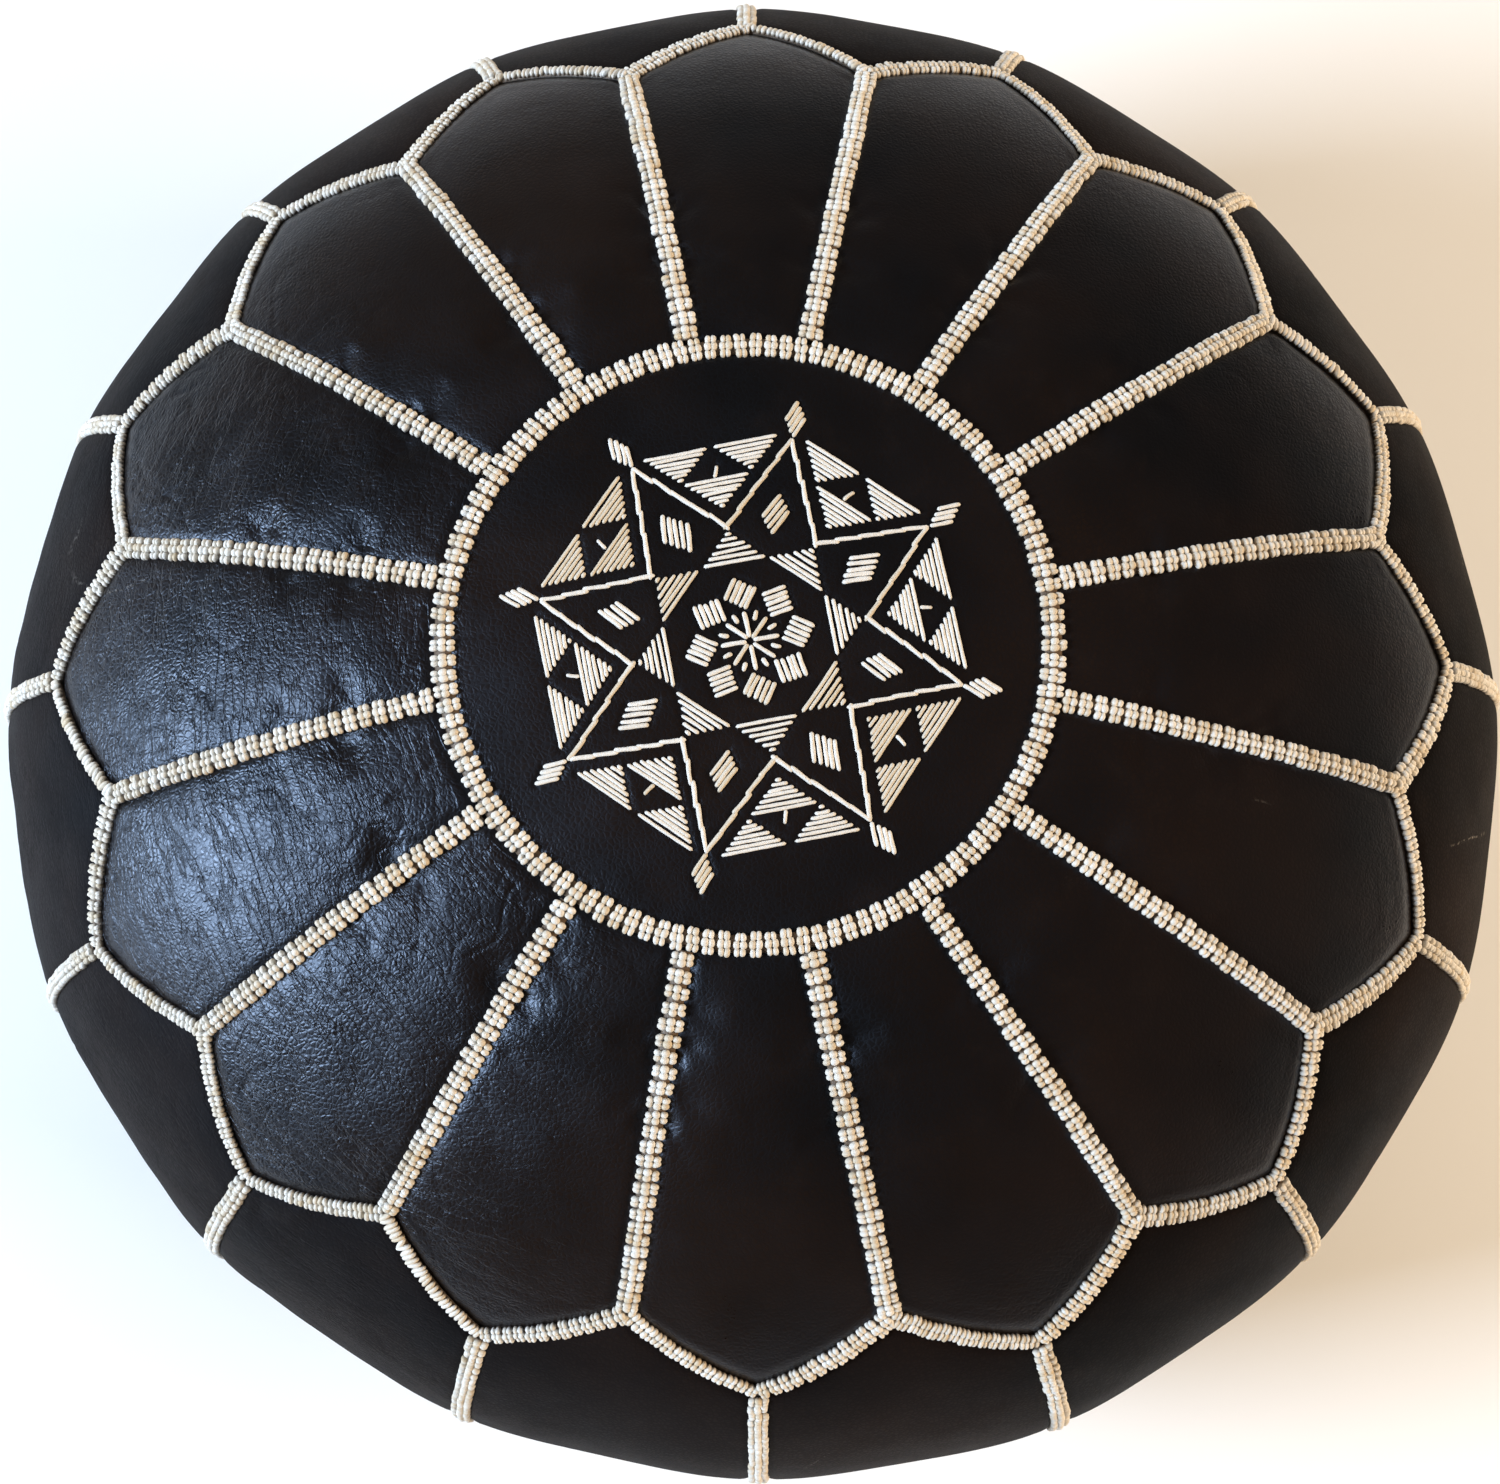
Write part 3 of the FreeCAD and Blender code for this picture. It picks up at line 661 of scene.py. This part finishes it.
def make_all_braids():
    """The ring, and for each petal its spoke, its two arms of the zigzag and its side seam."""
    theta = np.linspace(0, TAU, 721)
    ring = route(theta, phi_at(MEDALLION_RADIUS) + 0 * theta)
    make_braid("ring_braid", "medallion_ring_braid", [
        (ring, (RING_WIDTH, RING_WIDTH), (RING_PITCH, RING_PITCH), LOBES, RING_GAP),
    ])
    steps = np.linspace(0, 1, 121)
    for n in range(PANELS):
        number = f"{n + 1:02d}"
        valley = (n + 0.5) * PANEL_ANGLE
        peak = n * PANEL_ANGLE
        start = MEDALLION_RADIUS + RING_WIDTH / 2
        radius = start + steps * (VALLEY_RADIUS - 1 * MM - start)
        spoke = route(valley + 0 * steps, phi_at(radius))
        wide = SPOKE_WIDTH * rng.uniform(0.96, 1.05)
        parts = [(spoke, (wide, 0.96 * wide), SPOKE_PITCHES, LOBES, SPOKE_GAP)]
        make_braid(f"spoke_braid_{number}", "spoke_braids", parts)
        arms = []
        for side in (-1, 1):
            turn = HALF_PANEL * (1 - steps)
            arm = route(peak + side * turn, phi_at(zigzag_radius(turn)))
            run = arm[0][-1] - arm[0][0]
            slant = math.atan2(run[1], run[0])
            thinner = 1.2 * max(0.0, math.cos(peak - THIN_SIDE)) ** 4
            # The arms that slant one way are wider than those that slant the other way.
            wide = (5.7 + 1.5 * math.sin(2 * slant) - thinner + rng.uniform(-0.4, 0.4)) * MM
            across = 1 + (wide > 4.4 * MM) + (wide > 5.5 * MM)
            pitch = ZIGZAG_PITCH * rng.uniform(0.92, 1.1)
            arms.append((arm, (1.12 * wide, 0.86 * wide), (pitch, pitch), across, ZIGZAG_GAP))
        make_braid(f"zigzag_braid_{number}", "zigzag_braids", arms)
        top = phi_at(PEAK_RADIUS + 2 * MM)
        base = phi_at(BASE_SEAM_RADIUS, above=False)
        seam = route(peak + 0 * steps, top + steps * (base - top))
        wide = SIDE_WIDTH * rng.uniform(0.95, 1.05)
        parts = [(seam, (wide, wide), (SIDE_PITCH, SIDE_PITCH), LOBES, SIDE_GAP)]
        make_braid(f"side_braid_{number}", "side_seam_braids", parts)


# ------ embroidery

def heading(angle):
    return np.array([math.cos(angle), math.sin(angle)])


def share_point(share, angle):
    """A place on the medallion at a share of its radius."""
    return STAR_SHIFT + MEDALLION_RADIUS * share * heading(angle)


def satin_triangle(first, second, third, count):
    """Stitches side by side, parallel to the side from first to second and shorter towards third."""
    made = []
    for n in range(count):
        share = n / (count - 0.35)
        made.append((first + (third - first) * share, second + (third - second) * share))
    return made


def slanted_patch(spot, angle, slants, length, pitch, count, centred=True):
    """Equal stitches side by side, round a spot or beginning there. slants are the directions of a stitch and
    of the row, in degrees from the angle."""
    slanted, aside = (heading(angle + math.radians(slant)) for slant in slants)
    if centred:
        start = spot - slanted * length / 2 - aside * pitch * (count - 1) / 2
    else:
        start = spot + slanted * TIP_GAP
    return [(start + aside * pitch * n, start + aside * pitch * n + slanted * length) for n in range(count)]


def outline_stitches(angle):
    """Stem stitches from a point of the star to the notches beside it, each overlapping the last."""
    made = []
    tip = share_point(STAR_TIP, angle)
    for side in (-1, 1):
        notch = share_point(STAR_NOTCH, angle + side * STAR_STEP / 2)
        run = notch - tip
        aside = np.array([-run[1], run[0]]) / np.linalg.norm(run) * 0.3 * MM
        for n in range(5):
            start = tip + run * (n / 5 - 0.01)
            end = tip + run * ((n + 1) / 5 + 0.035)
            made.append((start + aside, end - aside))
    return made


def tip_stitches(angle):
    """A slanted diamond beyond a point of the star."""
    return slanted_patch(share_point(STAR_TIP, angle), angle, (-20, 31), 7.6 * MM, 1.9 * MM, 4, False)


def point_stitches(angle):
    """A slanted diamond within a point of the star."""
    count = 4 + round(angle / STAR_STEP) % 2
    return slanted_patch(share_point(0.435, angle), angle, (-26, 37), 9.4 * MM, 1.9 * MM, count)


def rosette_stitches(angle):
    """One petal of the rosette."""
    return slanted_patch(share_point(0.160, angle), angle, (-35, 54), 7.6 * MM, 1.7 * MM, 5)


def outer_triangle_stitches(angle):
    """Three satin triangles round a bare one with a short stitch in it. angle is between two points."""
    spread = math.radians(18.7)
    places = ((0.705, angle + spread), (0.705, angle - spread), (0.453, angle))
    corners = [share_point(*place) for place in places]
    made = []
    for corner in corners:
        first, second, third = (corner + (other - corner) * 0.475 for other in corners)
        made += satin_triangle(first, second, third, 7)
    eye = share_point(0.585, angle)
    along = heading(angle - math.radians(14)) * 2.1 * MM
    return made + [(eye - along, eye + along)]


def inner_triangle_stitches(angle):
    """A satin triangle whose long side faces the rosette. angle is between two points."""
    spread = math.radians(20.6)
    first, second = share_point(0.29, angle + spread), share_point(0.29, angle - spread)
    return satin_triangle(first, second, share_point(0.375, angle), 6)


def rosette_star_stitches(angle):
    """A long stitch from the centre, and a short one beyond the gap beside it."""
    beside = angle + STAR_STEP / 2
    long_stitch = (share_point(0.012, angle), share_point(0.098, angle))
    return [long_stitch, (share_point(0.070, beside), share_point(0.104, beside))]


def stitch_solid(start, end, width):
    """A thread that comes up out of the leather at one end and goes down at the other."""
    share = np.concatenate([[0, 0.03, 0.08, 0.16], np.linspace(0.28, 0.72, 5), [0.84, 0.92, 0.97, 1]])
    turn = np.linspace(0, TAU, 13)[:-1]
    rows, columns = len(share), len(turn)
    start = start + rng.normal(0, 0.12 * MM, 2)
    end = end + rng.normal(0, 0.12 * MM, 2)
    run = end - start
    length = np.linalg.norm(run)
    aside = np.array([-run[1], run[0]]) / length
    rise = np.minimum(share, 1 - share) * length
    full = np.sqrt(np.clip(1 - (1 - np.clip(rise / (0.75 * width), 0, 1)) ** 2, 0.02, 1))
    bow = rng.normal(0, 0.10 * MM) * np.sin(math.pi * share)
    flat = start + run * share[:, None] + aside * bow[:, None]
    half = width / 2 * full * rng.uniform(0.93, 1.08)
    strands = 1 + 0.07 * np.cos(2 * turn[None, :] - share[:, None] * length / (0.9 * MM))
    sideways = half[:, None] * np.cos(turn)[None, :] * strands
    upward = 0.72 * half[:, None] * np.sin(turn)[None, :] * strands
    x = flat[:, :1] + aside[0] * sideways + RING_SHIFT[0]
    y = flat[:, 1:] + aside[1] * sideways + RING_SHIFT[1]
    level = medallion_height(flat[:, 0], flat[:, 1]) - 0.35 * MM + 0.55 * MM * full
    points = np.stack([x, y, level[:, None] + upward], axis=-1).reshape(-1, 3)
    at = np.arange(rows * columns).reshape(rows, columns)
    after = np.roll(at, -1, axis=1)
    sides = (at[:-1], after[:-1], after[1:], at[1:])
    faces = [halved(np.stack([side.ravel() for side in sides], axis=1))]
    for cap in (at[0, ::-1], at[-1]):
        faces.append(np.stack([np.full(columns - 2, cap[0]), cap[1:-1], cap[2:]], axis=1))
    # Painted sheen: stitches that run near SHEEN_HEADING get a lower tint, which the thread material colours
    # warm tan.
    painted_sheen = math.cos(math.atan2(run[1], run[0]) - SHEEN_HEADING) ** 8
    tone_and_sheen = np.clip(0.80 - 0.55 * painted_sheen + rng.normal(0, 0.10), 0, 1)
    # Painted shade: darker on the underside of the thread and towards its ends, where it goes down into the
    # leather.
    shade_depth = np.tile(np.sin(turn), rows) * 0.4 + np.repeat(full * 2 - 1.4, columns) * 0.6
    return points, np.concatenate(faces), np.full(rows * columns, tone_and_sheen), shade_depth


def make_embroidery():
    """All the stitches of the star, one object for each pattern. Returns where they pierce the leather."""
    half = STAR_STEP / 2
    patterns = [
        ("star_outline", "star_outline_thread", outline_stitches, 0, STITCH_WIDTH),
        ("tip_diamonds", "tip_diamond_thread", tip_stitches, 0, STITCH_WIDTH),
        ("point_diamonds", "point_diamond_thread", point_stitches, 0, STITCH_WIDTH),
        ("outer_triangles", "outer_triangle_thread", outer_triangle_stitches, half, SATIN_WIDTH),
        ("inner_triangles", "inner_triangle_thread", inner_triangle_stitches, half, SATIN_WIDTH),
        ("rosette_petals", "rosette_petal_thread", rosette_stitches, half, STITCH_WIDTH),
        ("rosette_star", "rosette_star_thread", rosette_star_stitches, half, STITCH_WIDTH),
    ]
    holes = []
    for name, node, pattern, turn, width in patterns:
        stitches = [pair for n in range(STAR_POINTS) for pair in pattern(STAR_TURN + turn + n * STAR_STEP)]
        holes += [point for pair in stitches for point in pair]
        make_thread(name, node, [stitch_solid(*pair, width) for pair in stitches])
    return holes


# ------ materials

class Look:
    """A new material and short ways to add nodes to it. An input is a value or another node's output."""

    def __init__(self, name):
        self.made = bpy.data.materials.new(name)
        self.made.use_nodes = True
        self.tree = self.made.node_tree
        self.shader = self.tree.nodes["Principled BSDF"]
        self.place = self.node("TexCoord").outputs["Object"]

    def give(self, socket, value):
        """Sets an input to a value, or links an output to it."""
        if isinstance(value, bpy.types.NodeSocket):
            self.tree.links.new(value, socket)
        else:
            socket.default_value = value

    def node(self, kind, inputs=None, **settings):
        """A new node. Its inputs are by name or by number."""
        node = self.tree.nodes.new("ShaderNode" + kind)
        for key, value in settings.items():
            setattr(node, key, value)
        for key, value in (inputs or {}).items():
            self.give(node.inputs[key], value)
        return node

    def set(self, **values):
        """Inputs of the shader, by name with _ for a space."""
        for key, value in values.items():
            self.give(self.shader.inputs[key.replace("_", " ")], value)

    def noise(self, scale, detail=4.0, roughness=0.55, distortion=0.0, place=None):
        """Soft random values over space, about 0.5."""
        inputs = {"Scale": scale, "Detail": detail, "Roughness": roughness, "Distortion": distortion}
        return self.node("TexNoise", {"Vector": place or self.place, **inputs}).outputs["Fac"]

    def cells(self, scale, place):
        """Distance from the edges of a pattern of cells."""
        inputs = {"Vector": place, "Scale": scale}
        return self.node("TexVoronoi", inputs, feature="DISTANCE_TO_EDGE").outputs["Distance"]

    def wave(self, scale, distortion=0.0, place=None):
        """Bands across X."""
        inputs = {"Vector": place or self.place, "Scale": scale, "Distortion": distortion}
        return self.node("TexWave", inputs, bands_direction="X").outputs["Fac"]

    def turned(self, rotation, scale=(1.0, 1.0, 1.0)):
        """The place turned and stretched."""
        inputs = {"Vector": self.place, "Rotation": rotation, "Scale": scale}
        return self.node("Mapping", inputs).outputs[0]

    def warped(self, scale, amount):
        """The place moved about by noise, so that patterns wander."""
        drift = self.node("TexNoise", {"Vector": self.place, "Scale": scale}).outputs["Color"]
        inputs = {0: drift, 1: (amount, amount, amount), 2: self.place}
        return self.node("VectorMath", inputs, operation="MULTIPLY_ADD").outputs[0]

    def attribute(self, name, kind="Fac"):
        return self.node("Attribute", attribute_name=name).outputs[kind]

    def remap(self, value, low, high, to_low=0.0, to_high=1.0):
        """A value moved from one range to another, and kept inside it."""
        inputs = {"Value": value, "From Min": low, "From Max": high, "To Min": to_low, "To Max": to_high}
        return self.node("MapRange", inputs).outputs["Result"]

    def math(self, operation, first, second=0.0):
        return self.node("Math", {0: first, 1: second}, operation=operation).outputs[0]

    def near_half(self, value):
        """How far a value is from one half: small along the wandering lines of a noise."""
        return self.math("ABSOLUTE", self.math("SUBTRACT", value, 0.5))

    def blend(self, share, *colors):
        """From the first colour to the second. Each is a tuple or an output."""
        first, second = ((*color, 1.0) if isinstance(color, tuple) else color for color in colors)
        return self.node("Mix", {"Factor": share, 6: first, 7: second}, data_type="RGBA").outputs[2]

    def bump(self, height, distance, strength=1.0, under=None):
        """A normal for a raised surface, over another one if that is given."""
        inputs = {"Height": height, "Distance": distance, "Strength": strength}
        if under:
            inputs["Normal"] = under
        return self.node("Bump", inputs).outputs["Normal"]


def leather_material(name, dullness, gloss):
    """Waxed black-brown goatskin: pebbled grain with painted shade in its hollows, fine creases, a few
    scratches, uneven dyeing and polish.
    """
    look = Look(name)
    wear = look.attribute("wear")
    along = look.attribute("lie", "Vector")
    patches = look.noise(7, 3, 0.6)
    mottle = look.noise(55, 5, 0.65)
    dye_and_grain_shade = look.blend(look.remap(patches, 0.40, 0.66), (0.0030, 0.0021, 0.0016), (0.0112, 0.0056, 0.0028))
    dye_and_grain_shade = look.blend(look.remap(mottle, 0.55, 0.80, 0, 0.4), dye_and_grain_shade, (0.015, 0.009, 0.006))
    pebbles = look.remap(look.cells(620, look.warped(160, 2.2 * MM)), 0.0, 0.28)
    folds = look.remap(look.cells(105, look.warped(45, 14 * MM)), 0.0, 0.055)
    streaks = look.remap(look.near_half(look.noise(190, 4, 0.55, place=along)), 0.0, 0.035)
    fine = look.noise(2400, 3, 0.6)
    broad = look.noise(230, 4, 0.6, 0.6)
    # Painted shade: darker in the hollows between the grain's pebbles.
    dye_and_grain_shade = look.blend(look.remap(pebbles, 0, 1, 0.35, 0), dye_and_grain_shade, (0.002, 0.002, 0.002))
    scratch = look.remap(look.near_half(look.noise(9, 1, 0.3)), 0.0, 0.0035, 1, 0)
    scratch = look.math("MULTIPLY", scratch, look.remap(look.noise(750, 2), 0.52, 0.60))
    scratch = look.math("MULTIPLY", scratch, look.remap(look.noise(14, 0), 0.70, 0.76))
    look.set(Base_Color=look.blend(scratch, dye_and_grain_shade, (0.20, 0.185, 0.165)))
    uneven = look.remap(look.noise(38, 5, 0.6), 0.3, 0.7, 0.27 + dullness, 0.38 + dullness)
    look.set(Roughness=look.math("ADD", uneven, look.remap(pebbles, 0, 1, 0.07, 0)))
    normal = look.bump(broad, 0.5 * MM, look.remap(wear, 0, 1, 0.08, 0.15))
    normal = look.bump(folds, 0.35 * MM, look.remap(wear, 0, 1, 0.0, 0.16), normal)
    normal = look.bump(streaks, 0.40 * MM, look.remap(wear, 0, 1, -0.1, 0.45), normal)
    normal = look.bump(pebbles, 0.16 * MM, look.remap(wear, 0, 1, 0.22, 0.45), normal)
    look.set(Normal=look.bump(fine, 0.04 * MM, 0.35, normal))
    look.set(Specular_Tint=(0.62, 0.76, 1.0, 1.0), Specular_IOR_Level=gloss)
    return look.made


def thread_material():
    """Cream cotton cord: uneven tint, painted shade that makes it darker where it dips, a painted sheen on
    stitches that run one way, and fine twisted strands.
    """
    look = Look("thread")
    tint = look.attribute("tint")
    shade_depth = look.attribute("shade_depth")
    # Low tints are warm tan: random tint on the beads, and a painted sheen on stitches that run near
    # SHEEN_HEADING.
    cream = look.blend(look.remap(tint, 0.0, 0.5), (0.60, 0.49, 0.34), (0.71, 0.66, 0.58))
    cream = look.blend(look.remap(tint, 0.45, 0.9), cream, (0.78, 0.76, 0.72))
    cream = look.blend(look.remap(look.noise(900, 2), 0.5, 0.8, 0, 0.35), cream, (0.60, 0.47, 0.32))
    # Painted shade: the thread is darker where shade_depth is low, under the lobes and where stitches dip
    # into the leather.
    look.set(Base_Color=look.blend(look.remap(shade_depth, -0.6, 0.25), (0.12, 0.08, 0.05), cream))
    strands = look.noise(2600, 3, 0.6, place=look.turned((0.4, 0.3, 0.8), (1.0, 0.30, 1.0)))
    look.set(Normal=look.bump(strands, 0.22 * MM, 0.8))
    look.set(Roughness=look.remap(strands, 0.3, 0.7, 0.42, 0.62), Sheen_Weight=0.25, Sheen_Roughness=0.4)
    return look.made


def dark_thread_material():
    """Black-brown sewing thread in even stitches along X."""
    look = Look("dark_thread")
    strands = look.noise(1500, 3)
    stitch = look.remap(look.wave(TAU / 20 / (3.4 * MM)), 0.08, 0.30)
    shade = look.blend(strands, (0.012, 0.010, 0.009), (0.045, 0.036, 0.03))
    look.set(Base_Color=look.blend(stitch, (0.003, 0.0025, 0.002), shade))
    look.set(Normal=look.bump(strands, 0.2 * MM, 0.8, look.bump(stitch, 0.6 * MM)), Roughness=0.5)
    return look.made


def tape_material():
    """Woven black tape: a fine herringbone of threads."""
    look = Look("zip_tape")
    weave = look.math("MAXIMUM", *(look.wave(380, 0.4, look.turned((0, 0, turn))) for turn in (-0.6, 0.6)))
    look.set(Base_Color=look.blend(weave, (0.006, 0.006, 0.006), (0.03, 0.03, 0.032)))
    look.set(Normal=look.bump(weave, 0.2 * MM, 0.9), Roughness=0.8, Sheen_Weight=0.2)
    return look.made


def metal_material():
    """Antique brass: brown tarnish and bright metal in random patches, rougher where tarnished."""
    look = Look("zip_metal")
    tarnish = look.remap(look.noise(420, 6, 0.7), 0.38, 0.64)
    scratches = look.noise(900, 2, 0.5, 3.0)
    look.set(Base_Color=look.blend(tarnish, (0.62, 0.43, 0.19), (0.20, 0.125, 0.06)))
    look.set(Roughness=look.remap(tarnish, 0, 1, 0.24, 0.52), Metallic=1.0)
    look.set(Normal=look.bump(scratches, 0.03 * MM, 0.6))
    return look.made


def cotton_material():
    """Packed white cotton."""
    look = Look("cotton")
    tufts = look.noise(120, 8, 0.7)
    look.set(Base_Color=look.blend(tufts, (0.62, 0.58, 0.50), (0.84, 0.82, 0.76)))
    look.set(Normal=look.bump(tufts, 2 * MM, 0.8), Roughness=0.95, Sheen_Weight=0.4)
    return look.made


def floor_material():
    """A pale, dull floor."""
    look = Look("floor")
    look.set(Base_Color=look.blend(look.noise(6, 3), (0.86, 0.86, 0.86), (0.90, 0.90, 0.90)))
    look.set(Roughness=0.9)
    return look.made


leather = leather_material("leather", 0.0, 0.45)
side_leather = leather_material("side_leather", 0.35, 0.11)
thread = thread_material()
dark_thread = dark_thread_material()
zip_tape = tape_material()
zip_metal = metal_material()
cotton = cotton_material()


# ------ pieces

def finish_piece(thing, node):
    """Puts every piece into the root body and hides the CAD node it stands for."""
    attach(thing, "root")
    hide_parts(node)


def lie_of(grid):
    """Places on a panel as its creases see them: outward, across and up."""
    outward = unit(grid[grid.shape[0] // 2, grid.shape[1] // 2, :2])
    across = np.array([-outward[1], outward[0]])
    flat = grid[..., :2]
    return np.stack([flat @ outward, CREASE_SHARE * (flat @ across), grid[..., 2]], axis=-1)


def make_leather(name, node, grid, material):
    """A panel of leather over the stuffing."""
    shell = leather_shell(name, grid, material)
    paint(shell, "wear", np.tile(wear_at(grid).ravel(), 2))
    paint(shell, "lie", np.tile(lie_of(grid).reshape(-1, 3), (2, 1)), "FLOAT_VECTOR")
    finish_piece(shell, node)


def make_panels():
    """The petals and the side panels, stuffed and wrinkled."""
    petals = [start_grid(petal_layout(n)) for n in range(PANELS)]
    sides = [start_grid(side_layout(n)) for n in range(PANELS)]
    swollen = stuffed(petals + sides)
    petals, sides = swollen[:PANELS], swollen[PANELS:]
    for kind, node, grids, times, material in (
        ("petal", "top_petal", petals, 5, leather),
        ("side", "side_panel", sides, 3, side_leather),
    ):
        for n, grid in enumerate(grids):
            number = f"{n + 1:02d}"
            shape = wrinkled(finer(grid, times), 10 * n)
            make_leather(f"{kind}_{number}", f"{node}_{number}", shape, material)


def make_filling():
    """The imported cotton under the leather."""
    points = filling_shape()
    quads = grid_faces(*points.shape[:2])[:, ::-1]
    filling = new_object("cotton_filling", points.reshape(-1, 3), quads, cotton)
    weld(filling)
    finish_piece(filling, "filling")


def finish_zip():
    """The zip keeps its CAD shapes, with real materials. Its metal has eased edges."""
    finishes = dict.fromkeys(("tape_front", "tape_back"), zip_tape)
    finishes |= dict.fromkeys(("teeth_front", "teeth_back", "top_stops", "bottom_stop"), zip_metal)
    finishes |= {"slider": zip_metal, "pull": zip_metal, "stitching": dark_thread}
    for name, finish in finishes.items():
        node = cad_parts[f"zip_{name}"]
        node.data.materials.clear()
        node.data.materials.append(finish)
        if finish == zip_metal:
            ease = node.modifiers.new("eased_edges", "BEVEL")
            ease.width = 0.22 * MM
            ease.segments = 2
            ease.limit_method = "ANGLE"


make_panels()
make_all_braids()
thread_holes = make_embroidery()
make_leather("medallion", "top_medallion", medallion_grid(thread_holes), leather)
make_leather("base_half_back_cover", "base_half_back", base_grid(1), leather)
make_leather("base_half_front_cover", "base_half_front", base_grid(-1), leather)
make_filling()
finish_zip()


# ------ camera, floor and lights

CAMERA_TILT = math.radians(9.6)
CAMERA_DISTANCE = 0.799
CAMERA_LENS = 49.7
CAMERA_LEVEL = 0.150
# Small turns that centre the pouf in the picture.
CAMERA_AIM = (-0.0031, 0.0010)


def make_camera():
    """A camera almost straight above the pouf, tilted towards the front."""
    data = bpy.data.cameras.new("camera")
    data.lens = CAMERA_LENS
    data.sensor_width = 36
    camera = bpy.data.objects.new("camera", data)
    back = CAMERA_DISTANCE * math.sin(CAMERA_TILT)
    up = CAMERA_DISTANCE * math.cos(CAMERA_TILT)
    camera.location = (0, -back, CAMERA_LEVEL + up)
    camera.rotation_euler = (CAMERA_TILT + CAMERA_AIM[0], CAMERA_AIM[1], 0)
    bpy.context.scene.collection.objects.link(camera)
    bpy.context.scene.camera = camera


LIGHT_DISTANCE = 2.6
LIGHT_LEVEL = 0.25
FLOOR_HALF = 8.0


def area_light(name, azimuth, elevation, size, power, color, mirrored=True):
    """A soft light that faces the pouf. One that isn't mirrored leaves no sheen on the leather."""
    data = bpy.data.lights.new(name, "AREA")
    data.shape = "RECTANGLE"
    data.size, data.size_y = size
    data.energy = power
    data.color = color
    light = bpy.data.objects.new(name, data)
    a, e = math.radians(azimuth), math.radians(elevation)
    direction = np.array([math.cos(a) * math.cos(e), math.sin(a) * math.cos(e), math.sin(e)])
    light.location = direction * LIGHT_DISTANCE + np.array([0, 0, LIGHT_LEVEL])
    light.rotation_euler = (math.pi / 2 - e, 0, a + math.pi / 2)
    light.visible_glossy = mirrored
    bpy.context.scene.collection.objects.link(light)


def make_stage():
    """A cool window, two soft lamps, a backdrop that is brighter near the horizon, and a pale floor."""
    area_light("window", 190, 30, (0.80, 1.25), 118, (0.71, 0.84, 1.0))
    area_light("warm_lamp", -12, 24, (1.6, 1.0), 84, (1.0, 0.77, 0.52), mirrored=False)
    area_light("back_fill", 85, 20, (2.0, 1.0), 26, (1.0, 0.92, 0.82), mirrored=False)
    world = bpy.data.worlds.new("world")
    world.use_nodes = True
    background = world.node_tree.nodes["Background"]
    links = world.node_tree.links
    spot, split, glow = (
        world.node_tree.nodes.new(f"ShaderNode{kind}") for kind in ("TexCoord", "SeparateXYZ", "MapRange")
    )
    links.new(spot.outputs["Generated"], split.inputs[0])
    links.new(split.outputs["Z"], glow.inputs["Value"])
    for socket, value in (("From Min", 0.0), ("From Max", 0.16), ("To Min", 0.26), ("To Max", 0.10)):
        glow.inputs[socket].default_value = value
    links.new(glow.outputs["Result"], background.inputs["Strength"])
    background.inputs["Color"].default_value = (1, 0.93, 0.85, 1)
    bpy.context.scene.world = world
    bpy.context.scene.view_settings.view_transform = "Standard"
    corners = [(x * FLOOR_HALF, y * FLOOR_HALF, 0) for x, y in ((-1, -1), (1, -1), (1, 1), (-1, 1))]
    new_object("floor", corners, [(0, 1, 2, 3)], floor_material())


make_camera()
make_stage()
